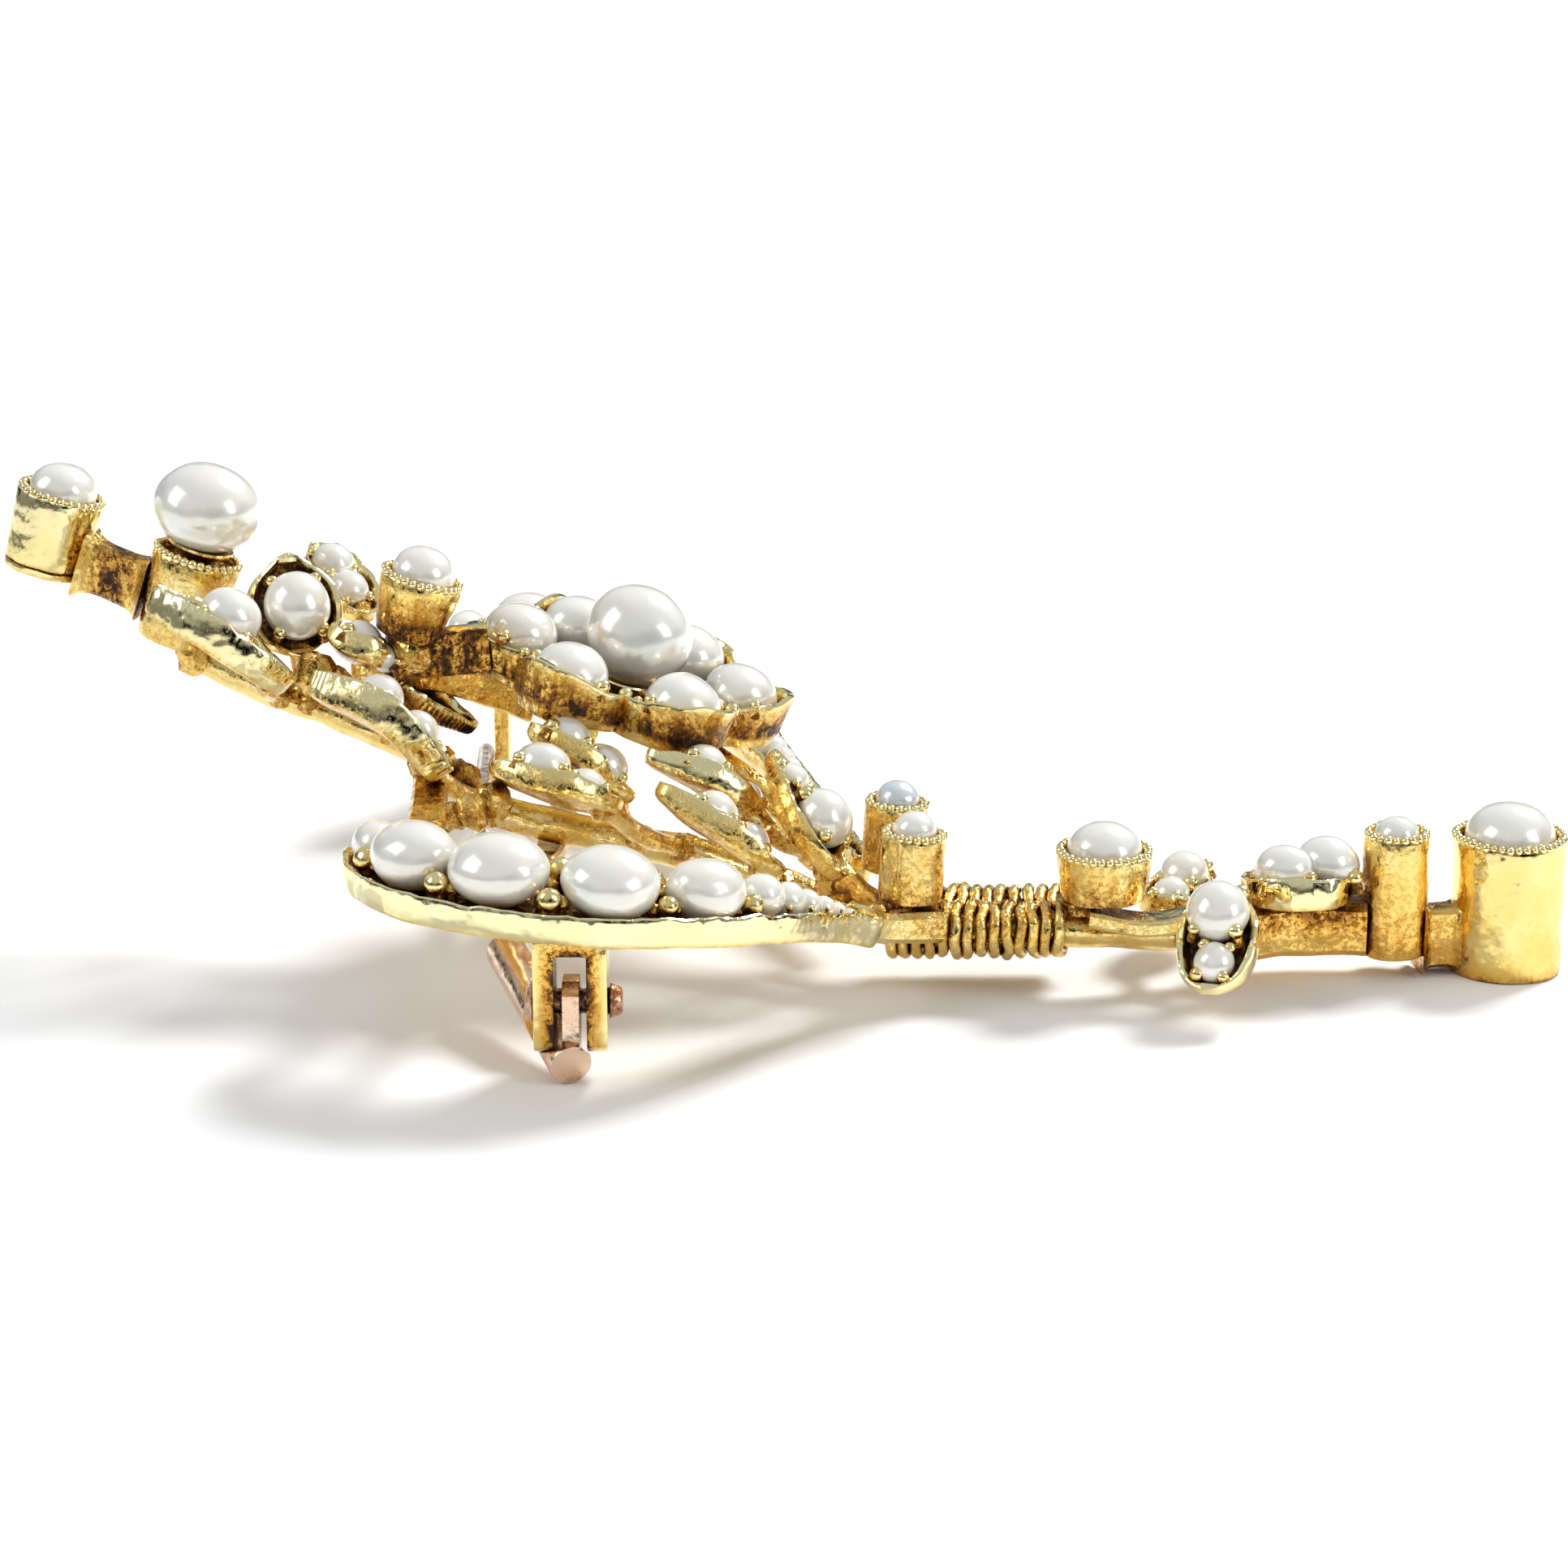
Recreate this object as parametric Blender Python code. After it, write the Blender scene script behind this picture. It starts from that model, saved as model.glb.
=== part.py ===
"""A floral spray brooch in gold and pearls, lying on its back as it rests on a table.

Lengths are in millimetres until they reach Blender, which takes metres. +X runs to the tail of the spray,
+Y to the far side, where the catch is, and +Z up. The whole brooch is centred over the origin at the end.
"""

import math

import bmesh
import bpy
from mathutils import Matrix, Quaternion, Vector

MM = 0.001
UP = Vector((0.0, 0.0, 1.0))

# Driving dimensions, in millimetres and degrees.
CLEARANCE = 0.05  # between pieces that are soldered or set together
STEM_RADIUS = 0.62
FLOWER_STEM_RADIUS = 0.5
STALK_RADIUS = 0.34
STRUT_WIDTH = 1.1
STRUT_THICKNESS = 0.55
STRUT_STEM_SHARE = 0.629  # where the strut passes the main stem, and each scroll
STRUT_NEAR_SHARE = 0.24
STRUT_FAR_SHARE = 0.27
BUD_ARM_ANGLE = math.radians(190)  # where the bud's arm meets the flower

TRAY_FLOOR = 0.4  # thickness under the pearls
TRAY_WALL = 0.34
SCROLL_HEIGHT = 1.1
LEAF_HEIGHT = 0.95
TALL_LEAF = 1.35  # how much taller the walls of the crown and long leaves are

PETAL_RING_RADIUS = 4.15  # centres of the six petal pearls
PETAL_REACH = 6.1  # from the flower's middle to a petal's tip
PETAL_GROWTH = PETAL_REACH - 6.1  # over the reach that the places below are written for
PETAL_NOTCH = 1.55  # how far the outline falls back between two petals
FLOWER_HEIGHT = 1.45  # from the flower's back to the level where its rim swells
PETAL_RIM_RISE = 0.5  # of the rim above that level
PETAL_WAVE = 0.28  # the rim stands higher at a petal's tip than between petals
BUD_SIDE_DIP = 0.7  # the rim is lower where the bud's arm meets it
FLOWER_TILT = 16.0
CENTRAL_PEARL_RADIUS = 1.98
PETAL_PEARL_RADIUS = 1.38
PETAL_PEARL_FLATNESS = 0.85  # height over width
CENTRAL_PEARL_FLATNESS = 0.83
FLOWER_CUP_HEIGHT = 0.95
FLOWER_CUP_HOLLOW = 0.25  # how far the pearl sinks into the cup

COLLET_WALL = 0.3
TAIL_COLLET_RADIUS = 2.0
TAIL_COLLET_HEIGHT = 4.9
SMALL_TAIL_COLLET_RADIUS = 1.16
SMALL_TAIL_COLLET_HEIGHT = 4.4
CROWN_COLLET_RADIUS = 1.65
CROWN_COLLET_HEIGHT = 3.3
CROWN_SEAT_DEPTH = 0.2
CROWN_PEG_HEIGHT = 0.6
CROWN_PEG_HOLLOW = 0.25
CROWN_PEARL_RADII = (2.0, 1.95, 1.62)
END_COLLET_RADIUS = 1.6
END_COLLET_HEIGHT = 3.0
BUD_COLLET_RADIUS = 1.5
BUD_COLLET_HEIGHT = 2.2
MIDDLE_COLLET_RADIUS = 1.68
MIDDLE_COLLET_HEIGHT = 1.7
TWIN_COLLET_RADIUS = 1.12
TWIN_FRONT_HEIGHT = 2.35
TWIN_REAR_HEIGHT = 2.45
TWIN_LEAN = 4.0
SPRAY_LEAN = 17.0  # the left end of the spray rises, so its collets lean to the tail
END_ARM_WIDTH = 0.9
END_ARM_HEIGHT = 1.9
BUD_ARM_WIDTH = 0.5
BUD_ARM_HEIGHT = 1.5
TAIL_WEB_WIDTH = 1.1
TAIL_WEB_HEIGHT = 2.1
TAIL_BAR_WIDTH = 1.7
TAIL_BAR_HEIGHT = 1.9

BINDING_LENGTH = 6.3
BINDING_TURNS = 14
BINDING_WALL = 0.3
WIRE_RELIEF = 0.13

RIVET_RADIUS = 0.42
BORE_RADIUS = RIVET_RADIUS + CLEARANCE
LUG_THICKNESS = 0.68
KNUCKLE_WIDTH = 0.56
KNUCKLE_GAP = 0.26  # on each side of the knuckle
LUG_REACH = 1.67  # from the rivet's axis to the lugs' round ends
PIN_ROD_RADIUS = 0.72
PIN_WIRE_RADIUS = 0.36
PIN_PLAY = 0.2  # around the pin in its catch
CATCH_THICKNESS = 0.6
CATCH_WIDTH = 2.4
CATCH_BEND = 130.0  # degrees that the strip turns under the pin
LUG_TOP = 2.4  # above the rivet's axis, where the lugs meet the scroll
LUG_BRIDGE = 0.55  # thickness of the plate that joins the lugs
LUG_HALF_DEPTH = 1.1
RIVET_HEAD_RADIUS = 0.72
RIVET_HEAD_HEIGHT = 0.22
RIVET_END_RADIUS = 0.62
RIVET_END_HEIGHT = 0.42
ROD_LENGTH = 2.2  # of the straight start of the pin's rod

# Where things stand.
TAIL_COLLET_FOOT = Vector((25.75, -6.4, 0.0))
SMALL_TAIL_COLLET_FOOT = Vector((21.65, -6.9, 0.75))
BOUND_LEVEL = 2.3  # of the stems' middles where they are bound
MIDDLE_COLLET_FOOT = Vector((11.15, -9.0, BOUND_LEVEL + STEM_RADIUS + 0.53))
TWIN_FRONT_FOOT = Vector((4.35, -9.6, BOUND_LEVEL + STEM_RADIUS + 0.7))
TWIN_REAR_FOOT = Vector((3.85, -6.1, BOUND_LEVEL + STEM_RADIUS + 0.7))
BUD_COLLET_RIM = Vector((-12.9, -3.0, 13.5))
CROWN_COLLET_RIM = Vector((-21.46, 1.0, 13.4))
END_COLLET_RIM = Vector((-26.5, 2.0, 15.5))
FLOWER_CENTRE = Vector((-5.65, -1.0, 9.6))
BINDING_START = Vector((3.75, -8.05, BOUND_LEVEL))
HINGE_AXIS = Vector((-7.0, -17.6, 2.62))
PIN_KNEE = Vector((-9.5, -12.2, 2.6))
CATCH_REST = 0.02  # the catch's bend stands this far above the table
PIN_TIP = Vector((-12.4, 18.0, CATCH_REST + PIN_WIRE_RADIUS + PIN_PLAY + CATCH_THICKNESS))

GOLD = ("yellow_gold", (0.83, 0.62, 0.26), 0.28, 1.0)
ROSE_GOLD = ("rose_gold", (0.80, 0.52, 0.36), 0.34, 1.0)
PEARL = ("pearl", (0.90, 0.87, 0.80), 0.22, 0.0)

root = None


def clear_scene():
    for old in list(bpy.data.objects):
        bpy.data.objects.remove(old, do_unlink=True)


def material(finish):
    name, colour, roughness, metallic = finish
    made = bpy.data.materials.new(name)
    made.use_nodes = True
    shader = made.node_tree.nodes["Principled BSDF"]
    shader.inputs["Base Color"].default_value = (*colour, 1.0)
    shader.inputs["Roughness"].default_value = roughness
    shader.inputs["Metallic"].default_value = metallic
    return made


def add_object(name, shape, finish, at, turn=Quaternion()):
    """Closes a bmesh into an object whose own frame stands at `at` and is turned by `turn`."""
    bmesh.ops.recalc_face_normals(shape, faces=shape.faces)
    bmesh.ops.scale(shape, vec=Vector((MM, MM, MM)), verts=shape.verts)
    mesh = bpy.data.meshes.new(name)
    shape.to_mesh(mesh)
    shape.free()
    mesh.shade_smooth()
    mesh.set_sharp_from_angle(angle=math.radians(38))
    mesh.materials.append(material(finish))
    made = bpy.data.objects.new(name, mesh)
    bpy.context.scene.collection.objects.link(made)
    made.rotation_mode = "QUATERNION"
    made.rotation_quaternion = turn
    made.location = at * MM
    made.parent = root
    return made


def hide_helper(helper):
    helper.hide_render = True
    helper.display_type = "WIRE"


def join(body, helper, operation="UNION"):
    hide_helper(helper)
    joint = body.modifiers.new(operation.lower(), "BOOLEAN")
    joint.operation = operation
    joint.solver = "EXACT"
    joint.object = helper


def smooth_through(points, per_span):
    """Catmull-Rom samples through the points; any further values in a point are smoothed with it."""
    first = [2 * a - b for a, b in zip(points[0], points[1])]
    last = [2 * a - b for a, b in zip(points[-1], points[-2])]
    knots = [first, *points, last]
    samples = []
    for span in range(len(points) - 1):
        group = knots[span : span + 4]
        for step in range(per_span + (span == len(points) - 2)):
            t = step / per_span
            weights = (
                (-t + 2 * t**2 - t**3) / 2,
                (2 - 5 * t**2 + 3 * t**3) / 2,
                (t + 4 * t**2 - 3 * t**3) / 2,
                (t**3 - t**2) / 2,
            )
            samples.append([sum(w * p for w, p in zip(weights, values)) for values in zip(*group)])
    return samples


class Route:
    """A smooth line that can be read at any share of its length, with a frame that leans about it."""

    def __init__(self, points, lean=0.0):
        self.samples = smooth_through([list(p) for p in points], 12)
        self.lean = math.radians(lean)
        places = [Vector(s[:3]) for s in self.samples]
        self.distance = [0.0]
        for before, after in zip(places, places[1:]):
            self.distance.append(self.distance[-1] + (after - before).length)
        self.length = self.distance[-1]

    def values(self, share):
        goal = min(max(share, 0.0), 1.0) * self.length
        index = 1
        while index < len(self.samples) - 1 and self.distance[index] < goal:
            index += 1
        gap = self.distance[index] - self.distance[index - 1]
        t = (goal - self.distance[index - 1]) / gap
        return [a + (b - a) * t for a, b in zip(self.samples[index - 1], self.samples[index])]

    def place(self, share):
        return Vector(self.values(share)[:3])

    def frame(self, share):
        """Unit vectors along, across and up at this share of the length."""
        step = 0.01
        along = (self.place(share + step) - self.place(share - step)).normalized()
        across = UP.cross(along).normalized()
        across.rotate(Quaternion(along, self.lean))
        return along, across, along.cross(across)


def ring_faces(shape, rings):
    for lower, upper in zip(rings, rings[1:]):
        for i in range(len(lower)):
            j = (i + 1) % len(lower)
            shape.faces.new((lower[i], lower[j], upper[j], upper[i]))


def sweep(points, section, origin, steps=8):
    """A closed bar along a route; section(share) gives its outline as (across, up) pairs."""
    route = Route(points)
    stations = steps * (len(points) - 1)
    shape = bmesh.new()
    rings = []
    for station in range(stations + 1):
        share = station / stations
        _, across, up = route.frame(share)
        centre = route.place(share) - origin
        rings.append([shape.verts.new(centre + across * a + up * b) for a, b in section(share)])
    ring_faces(shape, rings)
    shape.faces.new(rings[0])
    shape.faces.new(rings[-1])
    return shape


def round_section(radius, sides=10):
    def outline(share):
        turns = [2 * math.pi * i / sides for i in range(sides)]
        return [(radius * math.cos(a), radius * math.sin(a)) for a in turns]

    return outline


def flat_section(width, height):
    def outline(share):
        return [(width * side / 2, height * rise / 2) for side, rise in ((-1, -1), (1, -1), (1, 1), (-1, 1))]

    return outline


def turned(profile, sides=24):
    """A closed shape turned about Z from (radius, height) pairs that start and end on the axis."""
    shape = bmesh.new()
    foot = shape.verts.new((0.0, 0.0, profile[0][1]))
    top = shape.verts.new((0.0, 0.0, profile[-1][1]))
    rings = []
    for radius, height in profile[1:-1]:
        turns = [2 * math.pi * i / sides for i in range(sides)]
        rings.append([shape.verts.new((radius * math.cos(a), radius * math.sin(a), height)) for a in turns])
    ring_faces(shape, rings)
    for i in range(sides):
        j = (i + 1) % sides
        shape.faces.new((foot, rings[0][j], rings[0][i]))
        shape.faces.new((top, rings[-1][i], rings[-1][j]))
    return shape


def turn_of(along, across, up):
    return Matrix((along, across, up)).transposed().to_quaternion()


def lean_turn(degrees):
    """Leans an upright piece to the tail."""
    return Quaternion((0.0, 1.0, 0.0), math.radians(degrees))


def add_pearl(name, at, radii, turn=Quaternion(), sides=14, rings=8):
    shape = bmesh.new()
    bmesh.ops.create_uvsphere(shape, u_segments=sides, v_segments=rings, radius=1.0)
    bmesh.ops.scale(shape, vec=Vector(radii), verts=shape.verts)
    return add_object(name, shape, PEARL, at, turn)


def add_collet(name, foot, radius, height, lean, foot_radius, seat_depth):
    """A tube setting with a flat foot and a seat sunk in its top."""
    bore = radius - COLLET_WALL
    profile = [
        (0.0, 0.0),
        (foot_radius - 0.12, 0.0),
        (foot_radius, 0.12),
        (radius, height - 0.5),
        (radius, height),
        (bore, height),
        (bore, height - seat_depth),
        (0.0, height - seat_depth),
    ]
    return add_object(name, turned(profile), GOLD, foot, lean_turn(lean))


def collet_seat(foot, height, lean, rise):
    """The middle of a collet's mouth, raised by `rise` along its axis."""
    return foot + lean_turn(lean) @ Vector((0.0, 0.0, height + rise))


class Tray:
    """A long dish with a wall around it. Each point holds the rim's middle and the dish's half width."""

    def __init__(self, points, height, lean=0.0, stations=16):
        self.route = Route(points, lean)
        self.height = height
        self.stations = stations
        self.end_shares = [points[0][3] / self.route.length, points[-1][3] / self.route.length]

    def half_width(self, share):
        width = self.route.values(share)[3]
        for reach, end in zip(self.end_shares, (share, 1.0 - share)):
            if end < reach:
                width *= math.sqrt(max(0.0, 1.0 - (1.0 - end / reach) ** 2))
        return width

    def outline(self, inset, depth, origin):
        """The dish's outline, drawn in by `inset` all round and lowered by `depth`."""
        margin = inset / self.route.length
        left = []
        right = []
        for station in range(self.stations + 1):
            share = (1 - math.cos(math.pi * station / self.stations)) / 2
            share = margin + share * (1 - 2 * margin)
            _, across, up = self.route.frame(share)
            width = max(self.half_width(share) - inset, 0.07)
            middle = self.route.place(share) - up * depth - origin
            left.append(middle + across * width)
            right.append(middle - across * width)
        return left, right

    def shape(self, origin):
        shape = bmesh.new()
        levels = (
            self.outline(0.15, self.height, origin),
            self.outline(0.0, self.height * 0.55, origin),
            self.outline(0.0, 0.0, origin),
            self.outline(TRAY_WALL, 0.0, origin),
            self.outline(TRAY_WALL, self.height - TRAY_FLOOR, origin),
        )
        rings = []
        for left, right in levels:
            rings.append([shape.verts.new(p) for p in (*left, *reversed(right))])
        ring_faces(shape, rings)
        for ring in (rings[0], rings[-1]):
            half = len(ring) // 2
            for i in range(half - 1):
                shape.faces.new((ring[i], ring[i + 1], ring[-i - 2], ring[-i - 1]))
        return shape

    def seat(self, share, rise):
        """Where a pearl of vertical radius `rise` stands on the floor, and how it is turned."""
        along, across, up = self.route.frame(share)
        floor = self.height - TRAY_FLOOR
        place = self.route.place(share) + up * (rise + CLEARANCE - floor)
        return place, turn_of(along, across, up)


def add_tray(name, tray, stalk=None):
    origin = tray.route.place(0.5)
    made = add_object(name, tray.shape(origin), GOLD, origin)
    if stalk:
        bar = sweep(stalk, round_section(STALK_RADIUS, 8), origin, steps=4)
        join(made, add_object(name + "_stalk", bar, GOLD, origin))
    return made


def stalk_between(tray, share, stem, stem_share, stem_radius):
    """A bent wire from under a leaf's floor to just clear of a stem's surface."""
    _, _, up = tray.route.frame(share)
    start = tray.route.place(share) - up * (tray.height - TRAY_FLOOR / 2)
    target = stem.place(stem_share)
    end = target + (start - target).normalized() * (stem_radius + CLEARANCE + STALK_RADIUS)
    bend = (start + end) / 2 - up * 0.25
    return [start, bend, end]


# Routes of the stems. The last value of a tray's point is its half width.
MAIN_STEM = [
    (15.9, -7.6, 1.8),
    (13.2, -8.5, 2.0),
    (10.4, -9.05, 2.3),
    (7.0, -9.05, 2.3),
    (3.6, -8.9, 2.3),
    (0.9, -7.4, 3.0),
    (-2.5, -5.2, 3.7),
    (-6.6, -3.6, 4.1),
    (-10.6, -3.0, 5.0),
    (-13.2, -2.2, 6.9),
    (-16.2, -1.2, 8.0),
    (-19.0, -0.1, 8.75),
    (-20.75, 0.5, 9.65 - STEM_RADIUS),
    (-22.3, 0.95, 10.12 - STEM_RADIUS),
]
FLOWER_STEM = [
    (10.6, -7.05, 2.3),
    (7.0, -7.05, 2.3),
    (3.6, -6.9, 2.35),
    (1.6, -5.2, 3.6),
    (-0.6, -3.2, 5.4),
    (-2.9, -1.6, 6.75),
]
NEAR_SCROLL = [
    (-13.8, -12.4, 6.75, 1.1),
    (-13.0, -15.2, 6.8, 1.6),
    (-10.4, -17.2, 6.8, 2.05),
    (-6.4, -17.9, 6.45, 2.0),
    (-3.2, -17.1, 5.95, 1.6),
    (-0.7, -15.2, 5.3, 1.35),
    (1.0, -13.2, 4.6, 1.1),
    (2.3, -11.9, 4.0, 0.9),
    (3.4, -11.15, 3.5, 0.75),
]
FAR_SCROLL = [
    (-12.9, 11.6, 7.4, 1.0),
    (-12.4, 14.3, 7.3, 1.6),
    (-9.8, 15.9, 7.0, 2.0),
    (-6.6, 15.2, 6.5, 1.9),
    (-4.0, 12.9, 6.0, 1.5),
    (-2.0, 9.6, 5.4, 1.05),
    (-0.4, 5.6, 4.8, 0.75),
    (1.0, 1.0, 4.4, 0.55),
    (2.9, -4.9, 3.7, 0.4),
]
# share along the scroll, radii along, across and up
NEAR_SCROLL_PEARLS = [
    (0.070, (0.95, 0.8, 0.8)),
    (0.187, (1.5, 1.3, 1.1)),
    (0.323, (1.62, 1.5, 1.15)),
    (0.479, (1.56, 1.5, 1.15)),
    (0.620, (1.35, 1.15, 1.05)),
]
SEED_ROW_START = 0.73
SEED_ROW_RADIUS = 0.8
SEED_ROW_COUNT = 7
SEED_ROW_TAPER = 0.83

# name: (points of the rim with half widths, lean, height over LEAF_HEIGHT)
LEAVES = {
    "crown_leaf": (
        [
            (-17.3, -4.4, 10.2, 0.4),
            (-18.7, -4.3, 11.5, 1.0),
            (-20.5, -4.1, 12.7, 1.15),
            (-22.4, -3.6, 13.4, 0.4),
        ],
        12.0,
        TALL_LEAF,
    ),
    "bud_leaf": (
        [
            (-17.2, -3.1, 10.7, 0.8),
            (-17.4, -2.7, 11.7, 1.62),
            (-17.7, -1.8, 13.0, 1.55),
            (-17.95, -1.0, 14.0, 0.3),
        ],
        0.0,
        1.0,
    ),
    "back_leaf": (
        [
            (-15.2, 1.2, 11.2, 0.5),
            (-15.9, 2.1, 12.0, 1.1),
            (-16.8, 3.2, 12.8, 1.1),
            (-17.6, 4.2, 13.3, 0.2),
        ],
        0.0,
        1.0,
    ),
    "small_leaf": (
        [
            (-13.9, -3.2, 10.6, 0.4),
            (-14.6, -3.3, 11.2, 0.85),
            (-15.4, -3.4, 11.6, 0.85),
            (-16.1, -3.4, 12.0, 0.3),
        ],
        20.0,
        1.0,
    ),
    "long_leaf": (
        [
            (-11.6, -6.9, 7.5, 0.3),
            (-12.5, -6.4, 8.8, 0.85),
            (-14.0, -6.0, 10.0, 1.1),
            (-16.5, -5.7, 10.9, 0.3),
        ],
        25.0,
        TALL_LEAF,
    ),
    "thorn_leaf": (
        [
            (-14.3, -1.9, 10.5, 0.7),
            (-13.2, -2.0, 9.5, 0.8),
            (-12.2, -2.0, 8.7, 0.55),
            (-11.1, -2.0, 7.8, 0.15),
        ],
        20.0,
        1.0,
    ),
    "front_leaf": (
        [
            (-5.2, -6.4, 6.4, 0.4),
            (-6.3, -6.1, 7.4, 1.1),
            (-7.4, -6.2, 8.4, 1.1),
            (-8.9, -6.2, 9.1, 0.3),
        ],
        20.0,
        1.0,
    ),
    "forward_leaf": (
        [
            (-5.6, -7.9, 6.6, 0.4),
            (-6.9, -8.0, 7.3, 1.15),
            (-8.4, -8.0, 7.8, 1.25),
            (-10.2, -7.7, 8.1, 0.5),
        ],
        25.0,
        1.0,
    ),
    "middle_leaf": (
        [
            (-0.2, -6.3, 5.4, 0.3),
            (-1.2, -6.2, 6.4, 0.9),
            (-2.7, -6.5, 7.6, 1.0),
            (-4.8, -6.9, 8.3, 0.3),
        ],
        22.0,
        1.0,
    ),
    "inner_leaf": (
        [
            (0.1, -8.8, 4.4, 0.3),
            (-0.8, -8.6, 5.3, 1.0),
            (-2.1, -8.4, 6.3, 1.1),
            (-4.3, -8.3, 7.5, 0.4),
        ],
        22.0,
        1.0,
    ),
    "pendant_leaf": (
        [
            (2.2, -9.2, 4.3, 0.35),
            (1.5, -8.4, 5.6, 1.15),
            (0.7, -7.2, 6.9, 1.15),
            (-0.3, -5.8, 8.0, 0.2),
        ],
        30.0,
        1.0,
    ),
    "tail_leaf_upper": (
        [
            (20.1, -7.5, 3.75, 0.7),
            (19.0, -7.5, 3.9, 1.6),
            (17.6, -7.5, 3.9, 1.6),
            (16.1, -7.7, 3.8, 0.7),
        ],
        8.0,
        1.0,
    ),
    "tail_leaf_near": (
        [
            (15.2, -10.1, 4.0, 0.7),
            (15.0, -11.2, 3.5, 1.35),
            (14.7, -12.4, 2.6, 1.35),
            (14.3, -13.4, 1.6, 0.9),
        ],
        0.0,
        1.0,
    ),
    "tail_leaf_far": (
        [
            (13.2, -6.2, 2.7, 0.4),
            (13.8, -5.2, 2.5, 1.1),
            (14.5, -3.9, 2.6, 1.15),
            (15.3, -2.5, 2.9, 0.2),
        ],
        0.0,
        1.0,
    ),
}
LEAVES_UNDER_PETALS = ("front_leaf", "forward_leaf", "middle_leaf")
UNDER_PETALS_DROP = 0.35 * PETAL_GROWTH  # wider petals press the leaves under them down
# leaf: (share along the leaf, whether the flower's stem carries it, share along the stem)
LEAF_ROOTS = {
    "crown_leaf": (0.1, False, 0.897),
    "bud_leaf": (0.1, False, 0.864),
    "back_leaf": (0.12, False, 0.816),
    "small_leaf": (0.2, False, 0.792),
    "long_leaf": (0.12, False, 0.672),
    "thorn_leaf": (0.3, False, 0.773),
    "front_leaf": (0.12, False, 0.542),
    "forward_leaf": (0.12, False, 0.499),
    "middle_leaf": (0.12, True, 0.62),
    "inner_leaf": (0.12, False, 0.403),
    "pendant_leaf": (0.12, False, 0.346),
    "tail_leaf_near": (0.3, False, 0.048),
    "tail_leaf_far": (0.12, False, 0.058),
}


def add_stems():
    main = Route(MAIN_STEM)
    flower = Route(FLOWER_STEM)
    for name, points, radius in (
        ("main_stem", MAIN_STEM, STEM_RADIUS),
        ("flower_stem", FLOWER_STEM, FLOWER_STEM_RADIUS),
    ):
        origin = Vector(points[0])
        add_object(name, sweep(points, round_section(radius), origin, steps=4), GOLD, origin)
    return main, flower


def add_binding():
    """Wire wound round the two stems: a sleeve whose outside swells at each turn of the wire."""
    half_gap = (MAIN_STEM[3][1] - FLOWER_STEM[1][1]) / -2
    bore_height = STEM_RADIUS + 3 * CLEARANCE
    bore_width = half_gap + STEM_RADIUS + 3 * CLEARANCE
    shape = bmesh.new()
    pitch = BINDING_LENGTH / BINDING_TURNS
    sides = 20

    def ring(along, grow):
        verts = []
        for i in range(sides):
            angle = 2 * math.pi * i / sides
            side = math.copysign(abs(math.cos(angle)) ** 0.7, math.cos(angle))
            rise = math.copysign(abs(math.sin(angle)) ** 0.7, math.sin(angle))
            slant = 0.25 * side
            place = (along + slant, side * (bore_width + grow), rise * (bore_height + grow))
            verts.append(shape.verts.new(place))
        return verts

    rings = [ring(0.0, 0.0)]
    for turn in range(BINDING_TURNS):
        rings.append(ring(pitch * turn, BINDING_WALL))
        rings.append(ring(pitch * (turn + 0.5), BINDING_WALL + WIRE_RELIEF))
    rings.append(ring(BINDING_LENGTH, BINDING_WALL))
    rings.append(ring(BINDING_LENGTH, 0.0))
    ring_faces(shape, [*rings, rings[0]])
    add_object("stem_binding", shape, GOLD, BINDING_START)


def add_scrolls():
    near = Tray(NEAR_SCROLL, SCROLL_HEIGHT, lean=8, stations=24)
    far = Tray(FAR_SCROLL, SCROLL_HEIGHT, lean=0, stations=24)
    add_tray("near_scroll", near)
    add_tray("far_scroll", far)
    for number, (share, radii) in enumerate(NEAR_SCROLL_PEARLS, 1):
        place, turn = near.seat(share, radii[2])
        add_pearl(f"near_scroll_pearl_{number}", place, radii, turn)
    add_seed_row(near)
    return near, far


def add_seed_row(tray):
    """Small pearls that shrink along the scroll's end, each touching the next."""
    share = SEED_ROW_START
    radius = SEED_ROW_RADIUS
    first = None
    for _ in range(SEED_ROW_COUNT):
        place, turn = tray.seat(share, radius)
        if first:
            join(first, add_pearl("seed_row_helper", place, (radius,) * 3, turn, 12, 6))
        else:
            first = add_pearl("near_scroll_seed_row", place, (radius,) * 3, turn, 12, 6)
        share += 1.7 * radius / tray.route.length
        radius *= SEED_ROW_TAPER


def add_strut(near, far, main):
    """A flat strip soldered under the main stem, from one scroll's back to the other's."""
    stem = main.place(STRUT_STEM_SHARE)
    ends = []
    for scroll, share in ((near, STRUT_NEAR_SHARE), (far, STRUT_FAR_SHARE)):
        _, _, up = scroll.route.frame(share)
        ends.append(scroll.route.place(share) - up * (scroll.height + CLEARANCE + STRUT_THICKNESS * 0.7))
    middle = stem - UP * (STEM_RADIUS + CLEARANCE + STRUT_THICKNESS * 0.75)
    points = [ends[0], (ends[0] + middle) / 2, middle, (ends[1] + middle) / 2, ends[1]]
    add_object("cross_strut", sweep(points, flat_section(STRUT_WIDTH, STRUT_THICKNESS), middle), GOLD, middle)


def flower_point(angle, radius, height):
    """A point in the flower's own frame, turned into the brooch's."""
    return lean_turn(FLOWER_TILT) @ Vector((radius * math.cos(angle), radius * math.sin(angle), height))


def petal_outline(angle, inset):
    reach = PETAL_REACH - PETAL_NOTCH * (1 - math.cos(6 * angle)) / 2
    return reach - inset


def petal_swell(angle):
    """How far the rim stands above the flower's level."""
    dip = BUD_SIDE_DIP * math.exp(-(((angle - math.pi) / 0.3) ** 2))
    return PETAL_RIM_RISE + PETAL_WAVE * math.cos(6 * angle) - dip


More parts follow.
